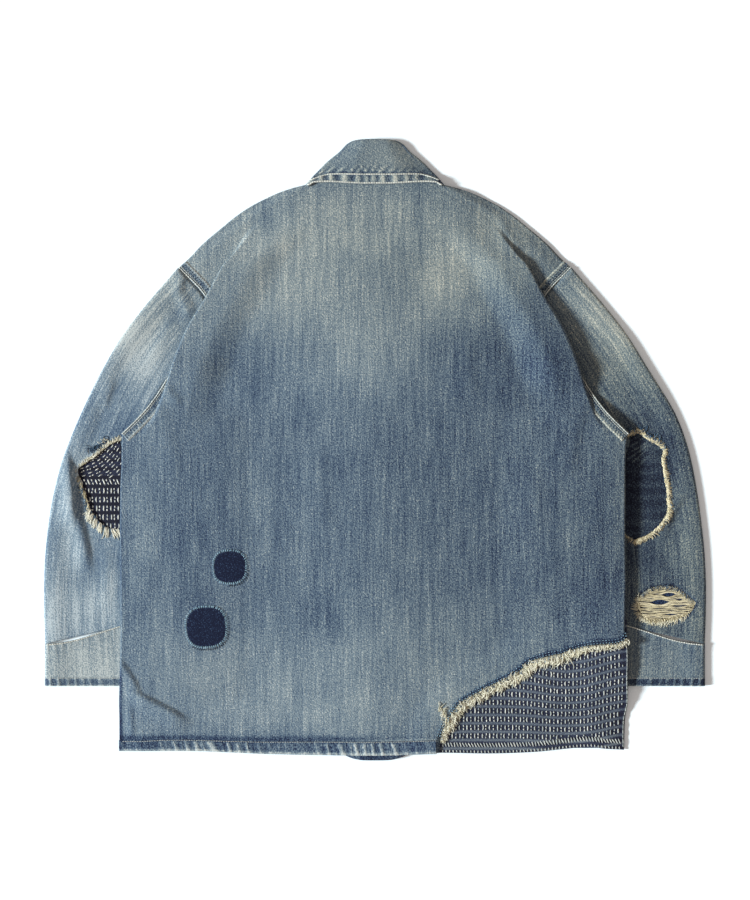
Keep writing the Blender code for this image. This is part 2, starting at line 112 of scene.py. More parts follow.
paper, tree, shader = surface("white_paper")
shader.inputs["Emission Color"].default_value = (1.0, 1.0, 1.0, 1.0)
to_camera = wire(tree, "LightPath").outputs["Is Camera Ray"]
sheet = wire(tree, "Mix", {"data_type": "RGBA"}, Factor=to_camera)
sheet.inputs[6].default_value = (0.92, 0.92, 0.92, 1.0)
sheet.inputs[7].default_value = (1.0, 1.13, 1.20, 1.0)   # evens out the room's warm light in the shadow
tree.links.new(sheet.outputs[2], shader.inputs["Base Color"])
glow = wire(tree, "Math", {"operation": "MULTIPLY"}, n0=to_camera, n1=PAPER_GLOW)
tree.links.new(glow.outputs[0], shader.inputs["Emission Strength"])

table_mesh = bpy.data.meshes.new("table")
corners = ((-1.0, -1.0), (1.0, -1.0), (1.0, 1.0), (-1.0, 1.0))
table_mesh.from_pydata([(x * TABLE_HALF, y * TABLE_HALF, TABLE_Z) for x, y in corners], [], [(0, 1, 2, 3)])
table_mesh.materials.append(paper)
table = bpy.data.objects.new("table", table_mesh)
bpy.context.scene.collection.objects.link(table)
table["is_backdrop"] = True

world = bpy.data.worlds.new("room")
world.use_nodes = True
bpy.context.scene.world = world
tree = world.node_tree
background = tree.nodes["Background"]
to_camera = wire(tree, "LightPath").outputs["Is Camera Ray"]
seen = wire(tree, "Mix", {"data_type": "RGBA"}, Factor=to_camera)
seen.inputs[6].default_value = (1.0, 0.84, 0.76, 1.0)
seen.inputs[7].default_value = (1.0, 1.0, 1.0, 1.0)
tree.links.new(seen.outputs[2], background.inputs["Color"])
strength = wire(tree, "MapRange", Value=to_camera, To_Min=ROOM_LEVEL, To_Max=1.0)
tree.links.new(strength.outputs[0], background.inputs["Strength"])

lamp_data = bpy.data.lights.new("lamp", "SUN")
lamp_data.energy = LAMP_LEVEL * math.pi / math.sin(LAMP_HEIGHT)
lamp_data.angle = LAMP_WIDTH
lamp_data.color = LAMP_COLOUR
lamp = bpy.data.objects.new("lamp", lamp_data)
toward = Vector((
    math.cos(LAMP_HEIGHT) * math.cos(LAMP_BEARING),
    math.cos(LAMP_HEIGHT) * math.sin(LAMP_BEARING),
    math.sin(LAMP_HEIGHT),
))
lamp.rotation_euler = toward.to_track_quat("Z", "Y").to_euler()
bpy.context.scene.collection.objects.link(lamp)

camera_data = bpy.data.cameras.new("camera")
camera_data.lens = 85.0
camera_data.sensor_width = 36.0
camera = bpy.data.objects.new("camera", camera_data)
camera.location = (0.0, 0.0, CAMERA_HEIGHT)
bpy.context.scene.collection.objects.link(camera)
bpy.context.scene.camera = camera


# ================================================================ denim
# Indigo warp over a white weft, washed and worn.  Its colour runs from unfaded indigo to nearly
# white along one ramp.  The warp's slubs make streaks, and the twill makes a slanting grain.

MM = 0.001


def colour(red, green, blue):
    """A colour given in display values, 0 to 255, as linear light."""
    share = np.array((red, green, blue)) / 255.0
    linear = np.where(share <= 0.04045, share / 12.92, ((share + 0.055) / 1.055) ** 2.4)
    return (*linear, 1.0)


def ramp(tree, factor, stops):
    """A colour ramp: its stops are places, 0 to 1, and colours in display values."""
    node = wire(tree, "ValToRGB", Fac=factor)
    while len(node.color_ramp.elements) < len(stops):
        node.color_ramp.elements.new(0.5)
    for element, (place, tone) in zip(node.color_ramp.elements, stops):
        element.position = place
        element.color = colour(*tone)
    return node.outputs["Color"]


def group(name, inputs, outputs):
    """A shader node group.  inputs are name, socket type and value; outputs name and type."""
    tree = bpy.data.node_groups.new(name, "ShaderNodeTree")
    for label, kind, value in inputs:
        socket = tree.interface.new_socket(label, in_out="INPUT", socket_type=kind)
        if value is not None:
            socket.default_value = value
    for label, kind in outputs:
        tree.interface.new_socket(label, in_out="OUTPUT", socket_type=kind)
    return tree, tree.nodes.new("NodeGroupInput").outputs, tree.nodes.new("NodeGroupOutput").inputs


def math_node(tree, operation, a, b=0.5, c=0.5):
    """The output of a maths node."""
    return wire(tree, "Math", {"operation": operation}, n0=a, n1=b, n2=c).outputs[0]


def grain(tree, across, along, width, length, detail=2.0):
    """Noise centred on 0, drawn out along the thread: width and length of its streaks, in mm."""
    place = wire(
        tree, "CombineXYZ",
        X=math_node(tree, "DIVIDE", across, width), Y=math_node(tree, "DIVIDE", along, length),
    ).outputs[0]
    noise = wire(tree, "TexNoise", Vector=place, Scale=1.0, Detail=detail).outputs[0]
    return math_node(tree, "SUBTRACT", noise, 0.5)


FLOAT, VECTOR, COLOUR = "NodeSocketFloat", "NodeSocketVector", "NodeSocketColor"
TWILL_SLANT = 0.55                   # of the twill's lines: across, for each step along the warp
weave, inside, outside = group(
    "denim_weave",
    (("Thread", VECTOR, None), ("Fade", FLOAT, 0.5), ("Tint", FLOAT, 0.5), ("Streaks", FLOAT, 1.0)),
    (("Color", COLOUR), ("Height", FLOAT)),
)
uv = wire(weave, "SeparateXYZ", Vector=inside["Thread"]).outputs
slanted = math_node(weave, "MULTIPLY_ADD", uv["Y"], TWILL_SLANT, uv["X"])
down = math_node(weave, "MULTIPLY_ADD", uv["X"], -TWILL_SLANT, uv["Y"])
slub = grain(weave, uv["X"], uv["Y"], 1.9, 48.0)
broad = grain(weave, uv["X"], uv["Y"], 8.0, 190.0, 1.0)
twill = grain(weave, slanted, down, 1.7, 7.0, 1.0)
speck = grain(weave, uv["X"], uv["Y"], 1.5, 1.7, 1.0)
patchy = grain(weave, uv["X"], uv["Y"], 38.0, 55.0, 3.0)
level = inside["Fade"]
for source, amount in ((broad, 0.28), (patchy, 0.26)):
    scaled = math_node(weave, "MULTIPLY", source, inside["Streaks"])
    level = math_node(weave, "MULTIPLY_ADD", scaled, amount, level)
# The grain of the weave stands out less where the indigo has washed away.
threads = math_node(weave, "MULTIPLY", math_node(weave, "MULTIPLY", slub, 0.62), inside["Streaks"])
threads = math_node(weave, "MULTIPLY_ADD", twill, 0.60, threads)
threads = math_node(weave, "MULTIPLY_ADD", speck, 1.42, threads)
showing = wire(
    weave, "MapRange",
    Value=inside["Fade"], From_Min=0.42, From_Max=0.76, To_Min=1.0, To_Max=0.66,
).outputs[0]
level = math_node(weave, "MULTIPLY_ADD", threads, showing, level)
indigo = ramp(weave, level, (
    (0.00, (17, 26, 52)), (0.20, (41, 59, 91)), (0.40, (72, 94, 119)),
    (0.60, (103, 125, 144)), (0.80, (138, 157, 168)), (1.00, (193, 206, 209)),
))
olive = wire(
    weave, "Mix", {"data_type": "RGBA", "blend_type": "MULTIPLY", "clamp_factor": False},
    Factor=inside["Tint"],
)
weave.links.new(indigo, olive.inputs[6])
olive.inputs[7].default_value = (1.12, 0.99, 0.82, 1.0)
weave.links.new(olive.outputs[2], outside["Color"])
rib = wire(
    weave, "TexWave", {"wave_type": "BANDS", "bands_direction": "X"},
    Vector=wire(weave, "CombineXYZ", X=slanted).outputs[0], Scale=0.28,
).outputs["Fac"]
height = math_node(weave, "MULTIPLY_ADD", twill, 1.4, math_node(weave, "MULTIPLY", rib, 0.35))
height = math_node(weave, "MULTIPLY_ADD", speck, 1.2, height)
height = math_node(weave, "MULTIPLY_ADD", slub, 0.8, height)
weave.links.new(height, outside["Height"])


def denim_material(name, streaks=1.0, bump=0.5):
    """Denim that reads the cloth's own thread coordinates, fade and tint."""
    material, tree, shader = surface(name)
    thread = wire(tree, "UVMap", {"uv_map": "thread"}).outputs[0]
    fade = wire(tree, "Attribute", {"attribute_name": "fade"}).outputs["Fac"]
    tint = wire(tree, "Attribute", {"attribute_name": "tint"}).outputs["Fac"]
    woven = wire(
        tree, "Group", {"node_tree": weave}, Thread=thread, Fade=fade, Tint=tint, Streaks=streaks,
    ).outputs
    dress(tree, shader, woven["Color"], woven["Height"], bump, 0.0006)
    shader.inputs["Sheen Weight"].default_value = 0.08
    shader.inputs["Specular IOR Level"].default_value = 0.2
    return material


denim = denim_material("denim")


# ================================================================ back
# One panel of denim, shoulder to hem.  Laid down, it folds over its own armhole on each side in a
# long soft pleat.  Its hem is turned and stitched, and the lower right corner is torn away.

def ease(value, low, high):
    """0 at low, 1 at high, and an S-curve between."""
    t = np.clip((value - low) / (high - low), 0.0, 1.0)
    return t * t * (3.0 - 2.0 * t)


def wane(value, low, high):
    """1 at low, 0 at high, and an S-curve between."""
    return 1.0 - ease(value, low, high)


def bell(value, at, width):
    """1 where value is at its place, and less on both sides as a normal curve does."""
    return np.exp(-((value - at) / width) ** 2)


def joined(*parts):
    """Arrays of x, y and, where it is given, z, joined into an array of points."""
    return np.stack(parts, axis=-1)


def through(rows, steps=12):
    """The smooth curve through a table's rows: between two rows, the cubic that leaves each of
    them in the direction from the row before to the row after."""
    rows = np.asarray(rows, float)
    ends = np.vstack((2.0 * rows[:1] - rows[1:2], rows, 2.0 * rows[-1:] - rows[-2:-1]))
    slope = 0.5 * (ends[2:] - ends[:-2])
    t = (np.arange(steps) / steps)[:, None, None]
    curve = (
        (2 * t ** 3 - 3 * t ** 2 + 1) * rows[:-1] + (t ** 3 - 2 * t ** 2 + t) * slope[:-1]
        + (3 * t ** 2 - 2 * t ** 3) * rows[1:] + (t ** 3 - t ** 2) * slope[1:]
    )
    return np.vstack((curve.transpose(1, 0, 2).reshape(-1, rows.shape[1]), rows[-1:]))


def read(curve, at, column=1, key=0):
    """A column of a smooth table at new values of its key column."""
    order = np.argsort(curve[:, key], kind="stable")
    return np.interp(at, curve[order, key], curve[order, column])


def run_length(path):
    """Distance along a path from its start to each of its points."""
    return np.concatenate(((0.0,), np.cumsum(np.linalg.norm(np.diff(path, axis=0), axis=1))))


def at_places(at, length, values):
    """Each column of values, which belong to lengths along a path, read at other lengths."""
    return np.stack([np.interp(at, length, column) for column in values.T], axis=-1)


def distance_to(x, y, path):
    """Shortest distance in plan from each point to a path, and the nearest point on it."""
    nearest = np.full(np.shape(x), np.inf)
    foot = np.zeros(np.shape(x) + (2,))
    for (ax, ay), (bx, by) in zip(path[:-1], path[1:]):
        run = np.array((bx - ax, by - ay))
        t = np.clip(((x - ax) * run[0] + (y - ay) * run[1]) / (run @ run), 0.0, 1.0)
        near = joined(ax + t * run[0], ay + t * run[1])
        away = np.hypot(x - near[..., 0], y - near[..., 1])
        foot = np.where((away < nearest)[..., None], near, foot)
        nearest = np.minimum(nearest, away)
    return nearest, foot


def is_inside(x, y, outline):
    """True where a point lies inside a closed outline: a ray along +X crosses it oddly often."""
    crossings = np.zeros(np.shape(x), int)
    for (ax, ay), (bx, by) in zip(outline, np.roll(outline, -1, axis=0)):
        if ay != by:
            meets = (ay > y) != (by > y)
            crossings += meets & (x < (bx - ax) * (y - ay) / (by - ay) + ax)
    return crossings % 2 == 1


def zones(x, y, table):
    """Sum of soft oval zones.  Columns: centre x, y, half width, half height, amount and turn in
    degrees."""
    total = np.zeros(np.shape(x))
    for centre_x, centre_y, wide, high, amount, turn in table:
        angle = math.radians(turn)
        along = (x - centre_x) * math.cos(angle) + (y - centre_y) * math.sin(angle)
        across = (y - centre_y) * math.cos(angle) - (x - centre_x) * math.sin(angle)
        total = total + amount * np.exp(-(along / wide) ** 2 - (across / high) ** 2)
    return total


def creases(x, y, table):
    """Height of creases.  Each runs from one point to another with a bow to its left,
    and rises by its height with a gentle flank on its left and a steep one on its right.

    Columns: start x, y, end x, y, bow, height, left flank, right flank."""
    total = np.zeros(np.shape(x))
    for ax, ay, bx, by, bow, rise, left, right in table:
        length = math.hypot(bx - ax, by - ay)
        ux, uy = (bx - ax) / length, (by - ay) / length
        t = ((x - ax) * ux + (y - ay) * uy) / length
        side = (y - ay) * ux - (x - ax) * uy - 4.0 * bow * t * (1.0 - t)
        flank = np.where(side > 0.0, left, right)
        along = ease(t, -0.08, 0.3) * wane(t, 0.7, 1.08)
        total = total + rise * along * np.exp(-(side / flank) ** 2)
    return total


def quad_mesh(name, places, quads, material):
    """An object of four-sided faces, shaded smooth: places in millimetres, and quads that number
    their four corners."""
    mesh = bpy.data.meshes.new(name)
    mesh.vertices.add(len(places))
    mesh.vertices.foreach_set("co", (places * MM).ravel())
    mesh.loops.add(quads.size)
    mesh.loops.foreach_set("vertex_index", quads.ravel())
    mesh.polygons.add(len(quads))
    mesh.polygons.foreach_set("loop_start", np.arange(0, quads.size, 4))
    mesh.polygons.foreach_set("use_smooth", np.ones(len(quads), bool))
    mesh.update(calc_edges=True)
    mesh.materials.append(material)
    piece = bpy.data.objects.new(name, mesh)
    bpy.context.scene.collection.objects.link(piece)
    return piece


def give(piece, label, values):
    """A value at each point of a piece, which its material reads by the label."""
    layer = piece.data.attributes.new(label, "FLOAT", "POINT")
    layer.data.foreach_set("value", values.astype(np.float32))


def cloth(name, points, thread, fade, tint, material, wall, closed=False, hole=None):
    """A sheet of cloth: a grid of points (rows x columns x 3), its thread coordinates, fade and
    tint, given its wall.  With closed set, the last column joins the first.  hole is a pair: a
    mask of the quads to leave out, and the outlines, the nearest of which each cut corner is
    drawn to."""
    rows, columns = points.shape[:2]
    corner = np.arange(rows * columns).reshape(rows, columns)
    if closed:
        corner = np.hstack((corner, corner[:, :1]))
    quads = np.stack((corner[:-1, :-1], corner[:-1, 1:], corner[1:, 1:], corner[1:, :-1]), axis=-1)
    places = points.reshape(-1, 3).copy()
    kept = quads.reshape(-1, 4)
    if hole is not None:
        gone, outlines = hole
        kept = quads[~gone]
        edge = np.intersect1d(quads[gone], kept)
        found = [distance_to(places[edge, 0], places[edge, 1], outline) for outline in outlines]
        nearest = np.argmin([away for away, foot in found], axis=0)
        places[edge, :2] = np.stack([foot for away, foot in found])[nearest, np.arange(len(edge))]
    used, kept = np.unique(kept, return_inverse=True)
    kept = kept.reshape(-1, 4)
    piece = quad_mesh(name, places[used], kept, material)
    along = thread.reshape(-1, 2)[used]
    loops = along[kept.ravel()]
    if closed:
        # The seam column's loops run past the sheet's width instead of back to 0.
        whole = thread[:, -1, 0].max() + abs(thread[0, -1, 0] - thread[0, -2, 0])
        u = loops[:, 0].reshape(-1, 4)
        u = np.where((u.max(axis=1, keepdims=True) - u) > 0.5 * whole, u + whole, u)
        loops = np.column_stack((u.ravel(), loops[:, 1]))
    piece.data.uv_layers.new(name="thread").data.foreach_set("uv", loops.ravel())
    for label, values in (("fade", fade), ("tint", tint)):
        give(piece, label, np.broadcast_to(values, (rows, columns)).ravel()[used])
    shell = piece.modifiers.new("wall", "SOLIDIFY")
    shell.thickness = wall * MM
    shell.offset = 0.0
    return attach(piece, "root")


def middle(values):
    """Values at a grid's quads, from those at its points."""
    return 0.25 * (values[:-1, :-1] + values[1:, :-1] + values[:-1, 1:] + values[1:, 1:])


WALL = 1.2                        # denim, one ply
SEAM_GAP = 0.4                    # between two pieces at a seam
BODY_HALF_WIDTH = 328.0           # side seam to centre
HEM_Y = -388.0
UNDERARM_Y = 21.0
SHOULDER_Y = 237.0
NECK_POINT_Y = 347.0
NECK_RISE = 18.0                  # the neck edge, centre over ends
BACK_Z = 4.6                      # middle of the back where nothing thick lies under it
BACK_GAP = 1.2                    # between front and back where the sleeves lie under them
OVER_SLEEVE = 5.9                 # how much the sleeves' inner edges lift the body
OVER_SLEEVE_RIGHT = 5.6           # and how much more it stands off the right one
OVER_LEAF = 2.6                   # how much the collar's front leaves lift the fronts
OVER_FRONTS = 3.0                 # how much the lap and the throat lift the back
TEAR_LIFT = 2.2                   # the back rides this much higher along the tear, over the patch
TEAR_BAND = 30.0
HANG_FADES = 70.0                 # how far above the hem its wave has died out
ARMHOLE = np.array((              # from the underarm up to the shoulder: x, y
    (329, 21), (318.5, 31), (308, 41.5), (296, 55), (285, 70), (276.5, 83), (268, 95), (236, 126),
    (216, 160), (220, 198), (255, 237),
))
SHOULDER = np.array((             # from the armhole to the neck point: x, y
    (255, 237), (239, 252), (224, 268), (198, 290), (178, 306), (154, 321), (118, 337), (88, 343.5),
    (70, 347),
))
PLEAT = np.array((                # height, fold edge, turn of each bend, cloth between the bends
    (-388, 292, 2, 5), (-60, 296, 2, 5), (14, 300, 3, 5), (40, 287, 20, 4), (67, 277, 66, 2),
    (94, 268, 150, 6), (125, 258, 180, 32), (160, 243, 180, 34), (198, 220, 180, 16),
    (237, 199, 175, 6), (252, 186, 115, 2), (268, 173, 50, 3), (290, 155, 4, 5), (315, 120, 2, 5),
    (331, 88, 2, 5), (339, 60, 2, 4), (347, 44, 2, 4),
))
HEM_WAVE = np.array((             # x, how far the hem hangs below HEM_Y
    (-331, 2.6), (-245, 2), (-188, 3.9), (-130, 6.2), (0, 7.6), (80, 5.5), (150, 6.6), (210, 4.2),
    (272, -1.6), (300, 0.4), (331, 2.6),
))
SIDE_DRIFT = np.array((           # height, how far the left and the right side lie outside the outline
    (-388, 4.5, -7), (-350, 4.5, -6), (-330, 4.5, -2.6), (-280, 2.6, -2.6), (-230, 2, -5),
    (-175, 2.2, -3.5), (-110, 2.6, -4.5), (-53, 2, -4.5), (-23, 0.5, -4.5), (5, 0, -4), (30, 0, 0),
))
CORNER_TEAR = np.array((
    (83, -402), (85.5, -373), (91, -358), (101.5, -340.5), (112, -328), (127.5, -318.5),
    (145.5, -308.5), (164, -299.5), (179.5, -292), (190, -285), (198.5, -276.5), (211, -271),
    (224.5, -267.5), (240, -264.5), (254.5, -259.5), (277.5, -253.5), (301, -251), (313, -250),
    (322, -246.5), (328, -240), (340, -230),
))
TEAR = through(CORNER_TEAR, 8)
BACK_CREASES = (                  # these and the other creases: the columns of creases()
    (-304, -317, -334, -270, -1, 2.6, 12, 2.4), (-240, -354, -320, -311, -1, 4.2, 18, 2.4),
    (-314, -378, -319, -330, 0, 1.4, 8, 3), (196, 262, 162, 300, 5, 1.8, 16, 5),
    (252, -40, 283, 84, 8, 1.5, 24, 9), (-262, -50, -286, 60, -6, 1, 22, 12),
    (128, 60, 122, 150, 3, 0.9, 20, 9), (-250, 60, -272, 84, 2, 1.6, 8, 4),
    (206, -120, 200, -10, -5, 0.8, 24, 10), (-60, -120, -72, 10, 6, 0.8, 26, 12),
)
SWELLS = (                        # these and the other zones: the columns of zones()
    (-90, 130, 70, 120, 1.2, 20), (120, 60, 90, 150, 1.4, -15), (-190, -60, 60, 130, 1.2, 0),
    (60, -220, 120, 60, 1.1, 10), (220, -120, 50, 110, 1.5, 0), (-60, 280, 60, 40, 0.8, 0),
)

armhole = through(ARMHOLE)
shoulder = through(SHOULDER)
pleat = through(PLEAT)
hem_wave = through(HEM_WAVE)
side_line = np.vstack(((BODY_HALF_WIDTH, HEM_Y), armhole, shoulder[1:]))


def outline_x(y):
    """Half width of the body at height y: side seam, armhole, then shoulder."""
    return np.interp(y, side_line[:, 1], side_line[:, 0])


def drift(x, y):
    """How far a point of the body moves sideways, as its sides do not lie quite straight."""
    left, right = (np.interp(y, SIDE_DRIFT[:, 0], SIDE_DRIFT[:, column]) for column in (1, 2))
    return np.where(x > 0.0, right, -left) * ease(np.abs(x), 150.0, BODY_HALF_WIDTH)


def hem_hang(x, y):
    """How far a point of the back hangs below its height, as the hem is wavy."""
    return read(hem_wave, x) * wane(y, HEM_Y, HEM_Y + HANG_FADES)


def lift_over_sleeve(x, y):
    """The body lies on the sleeves' inner edges, between the underarm and the cuffs, and on the
    right it stands a little further off them."""
    across = ease(np.abs(x), 110.0, 262.0)
    along = wane(y, UNDERARM_Y + 4.0, 94.0) * ease(y, -352.0, -311.0)
    loose = ease(x, 240.0, 320.0) * ease(y, -345.0, -270.0) * wane(y, 56.0, 118.0)
    return OVER_SLEEVE * across * along + OVER_SLEEVE_RIGHT * loose


def lift_over_leaf(x, y):
    """The fronts lie on the collar's front leaves."""
    return OVER_LEAF * ease(y, 232.0, 260.0) * wane(np.abs(x), 112.0, 150.0)


def back_height(x, y):
    """Middle of the back before its pleat: the highest of what carries it, sinking to the front
    at the side and shoulder seams."""
    over_sleeve = lift_over_sleeve(x, y)
    lap = bell(x, 0.0, 85.0)
    throat = ease(y, 225.0, 275.0) * wane(np.abs(x), 100.0, 170.0)
    level = np.maximum(1.5 * WALL + BACK_GAP + over_sleeve, BACK_Z + OVER_FRONTS * np.maximum(lap, throat))
    seam = 1.5 * WALL + SEAM_GAP + np.maximum(over_sleeve, lift_over_leaf(x, y))
    inner = ease(outline_x(y) - np.abs(x), 0.0, 26.0)
    armhole_zone = ease(y, UNDERARM_Y, 40.0) * wane(y, SHOULDER_Y - 10.0, 252.0)
    over_stand = ease(y, 295.0, 325.0) * wane(np.abs(x), 74.0, 104.0)
    inner = np.maximum(inner, np.maximum(armhole_zone, over_stand))
    return seam + (np.maximum(level, seam) - seam) * inner


def back_half(y, radius_floor):
    """Half the back from the middle out: x, and height over back_height, for each height y.

    The cloth runs flat to the fold edge, bends down through the turn, runs back, bends again and
    runs out to the seam.  radius_floor is the least radius of the bends."""
    fold_x, turn, between = (read(pleat, y, c)[:, None] for c in (1, 2, 3))
    turn = np.radians(np.clip(turn, 2.0, 180.0))
    radius = np.maximum(radius_floor[:, None], 2.5 / turn)
    drop = 2.0 * radius * (1.0 - np.cos(turn)) + between * np.sin(turn)
    start = fold_x - radius * np.sin(np.minimum(turn, 0.5 * math.pi))
    bend = turn * np.linspace(0.0, 1.0, 7)
    share = np.linspace(0.0, 1.0, 76)[:-1]
    flat_x = start * (share + 0.15 * np.sin(math.pi * share))
    flat_z = drop * ease(flat_x, start - 80.0, start - 30.0)
    first_x = start + radius * np.sin(bend)
    first_z = drop - radius * (1.0 - np.cos(bend))
    reach = between * np.linspace(0.0, 1.0, 5)[1:-1]
    between_x = first_x[:, -1:] + reach * np.cos(turn)
    between_z = first_z[:, -1:] - reach * np.sin(turn)
    second_x = first_x[:, -1:] + between * np.cos(turn) + radius * (np.sin(turn) - np.sin(turn - bend))
    second_z = radius * (1.0 - np.cos(turn - bend))
    out_x = second_x[:, -1:] + (outline_x(y)[:, None] - second_x[:, -1:]) * np.linspace(0.0, 1.0, 12)[1:]
    x = np.hstack((flat_x, first_x, between_x, second_x, out_x))
    z = np.hstack((flat_z, first_z, between_z, second_z, np.zeros(out_x.shape)))
    return x, z


BACK_FADE = (
    (-110, 285, 150, 60, 0.30, 0), (150, 270, 60, 50, 0.22, 0), (20, 300, 50, 40, 0.10, 0),
    (-10, 165, 70, 60, 0.16, 0), (-185, 125, 60, 40, -0.06, 0), (150, 110, 80, 60, -0.12, 0),
    (235, 130, 40, 70, -0.10, 20), (130, -40, 110, 110, -0.08, 0), (-60, -270, 190, 75, 0.13, 0),
    (-270, -240, 50, 80, 0.10, 0), (285, -190, 60, 70, -0.14, 0), (120, -250, 80, 60, 0.05, 20),
    (-118, 200, 60, 45, 0.17, 0), (-235, 207, 40, 45, 0.14, 0), (84, 207, 30, 40, 0.16, 0),
    (-33, 103, 70, 40, 0.08, 0), (-293, -79, 20, 110, 0.12, 0), (-157, -53, 20, 60, 0.07, 0),
    (253, 64, 40, 60, -0.10, 0), (253, -27, 50, 80, -0.10, 0), (163, -183, 80, 70, -0.09, 0),
    (-72, -209, 30, 40, -0.08, 0), (-212, -312, 120, 50, 0.11, 0), (123, -326, 60, 30, 0.08, 0),
    (-150, 310, 60, 30, -0.08, 0), (-240, 140, 50, 60, 0.13, 0), (-140, 165, 50, 50, 0.10, 0),
    (95, 215, 40, 34, 0.11, 0), (20, 110, 90, 40, 0.05, 0), (10, -345, 190, 34, 0.16, 0),
    (296, -120, 22, 130, -0.10, 0), (-293, -195, 20, 40, -0.09, 0), (-285, 56, 16, 20, 0.10, 0),
    (-137, 292, 24, 16, -0.11, 0), (0, 294, 80, 16, -0.07, 0), (150, 266, 40, 18, -0.06, 0),
    (-137, 175, 20, 20, -0.07, 0), (107, 172, 30, 18, 0.07, 0), (214, 112, 22, 30, -0.08, 0),
    (20, -18, 44, 20, -0.07, 0), (178, -78, 24, 44, -0.06, 0), (-254, -115, 24, 40, -0.06, 0),
    (-20, -254, 22, 20, 0.07, 0), (42, -345, 42, 32, -0.10, 0), (-215, -295, 30, 26, 0.06, 0),
    (-298, -366, 20, 14, 0.08, 0), (-60, -225, 60, 30, -0.07, 0), (-235, -195, 30, 40, -0.10, 0),
    (-262, 225, 30, 30, 0.08, 0),
)
row_y = np.concatenate([
    np.linspace(low, high, count, endpoint=False)
    for low, high, count in (
        (HEM_Y, -374.0, 7), (-374.0, -262.0, 42), (-262.0, UNDERARM_Y, 58),
        (UNDERARM_Y, SHOULDER_Y, 62), (SHOULDER_Y, NECK_POINT_Y, 30),
    )
] + [(NECK_POINT_Y,)])
# The pleat's bends are rounder halfway up, and more so on the right.
puff = bell(row_y, 140.0, 86.0)
left_x, left_z = back_half(row_y, 1.2 + 0.3 * puff)
right_x, right_z = back_half(row_y, 1.2 + 2.3 * puff)
back_x = np.hstack((-left_x[:, :0:-1], right_x))
back_z = np.hstack((left_z[:, :0:-1], right_z))
level_y = np.broadcast_to(row_y[:, None], back_x.shape)
back_x = back_x + drift(back_x, level_y)
neck_curve = 1.0 - (back_x / outline_x(row_y)[:, None]) ** 2
back_y = level_y + NECK_RISE * ease(level_y, 325.0, NECK_POINT_Y) * neck_curve - hem_hang(back_x, level_y)
near_tear = distance_to(back_x, back_y, TEAR)[0]
back_top = (
    back_height(back_x, level_y) + back_z + TEAR_LIFT * wane(near_tear / TEAR_BAND, 0.6, 1.6)
    + creases(back_x, back_y, BACK_CREASES) + zones(back_x, back_y, SWELLS)
)
back_points = joined(back_x, back_y, back_top)
# Unfaded indigo lies along the hem's stitching, the tear's turned edge and the left side seam.
to_hem = level_y - HEM_Y - 3.0 * ease(back_x, -230.0, -40.0)
along_hem = bell(to_hem, 15.4, 3.2) * (1.0 - 0.75 * ease(back_x, -60.0, 40.0))
pale_ridge = bell(to_hem, 13.4, 1.5) * ease(back_x, -60.0, 20.0)
along_tear = wane(near_tear, 4.0, 7.0) * (0.35 + 0.65 * ease(back_y, -345.0, -325.0))
to_side = outline_x(level_y) + drift(back_x, level_y) * np.sign(back_x) - np.abs(back_x)
along_side = wane(to_side, 1.2, 4.2) * wane(level_y, -300.0, -275.0) * (back_x < 0.0)
back_fade = 0.52 + zones(back_x, back_y, BACK_FADE) - 0.36 * along_hem + 0.22 * pale_ridge
back_fade = back_fade - 0.45 * along_tear - 0.45 * along_side
back_tint = 0.10 + 0.55 * ease(back_x, -260.0, 300.0) + 0.40 * ease(back_y, 60.0, 250.0)
back_tint = back_tint + 0.28 * ease(back_x, 215.0, 300.0) * ease(back_y, -250.0, -120.0)
# The outline of the torn-off corner: the tear, closed round the outside of the body.
beyond = np.vstack((TEAR, (370, -230), (370, -430), (83, -430)))
torn_away = is_inside(middle(back_x), middle(back_y), beyond)
back = cloth(
    "back_panel", back_points, back_points[..., :2], back_fade, back_tint, denim, WALL,
    hole=(torn_away, (TEAR,)),
)
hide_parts("back")


# ================================================================ fronts
# Two plain fronts under the back, sewn to it at side and shoulder.  The wearer's left one laps
# over the right, so it lies lower here.  Both hang a little below the back's hem at the middle.

LAP = 20.0                           # each front passes the centre by this much
OVER_BUTTONS = 2.9                   # how much the buttons lift the left front
OVER_LAP = 4.7                       # how much the lap lifts the right front
FRONT_DROP = 15.5                    # how far the fronts hang below the back's hem, at the centre
FRONT_NECK = np.array((           # height, inner edge: past the middle, then along the neckline
    (-388, -LAP), (262, -LAP), (281, 10), (290, 33), (306, 52), (315, 57), (331, 64), (339, 67),
    (345, 70),
))
FRONT_CREASES = (
    (60, 60, 190, 20, 4, 0.9, 14, 9), (210, 110, 120, -40, -6, 0.8, 16, 12),
    (90, -180, 230, -240, 5, 0.9, 18, 10),
)


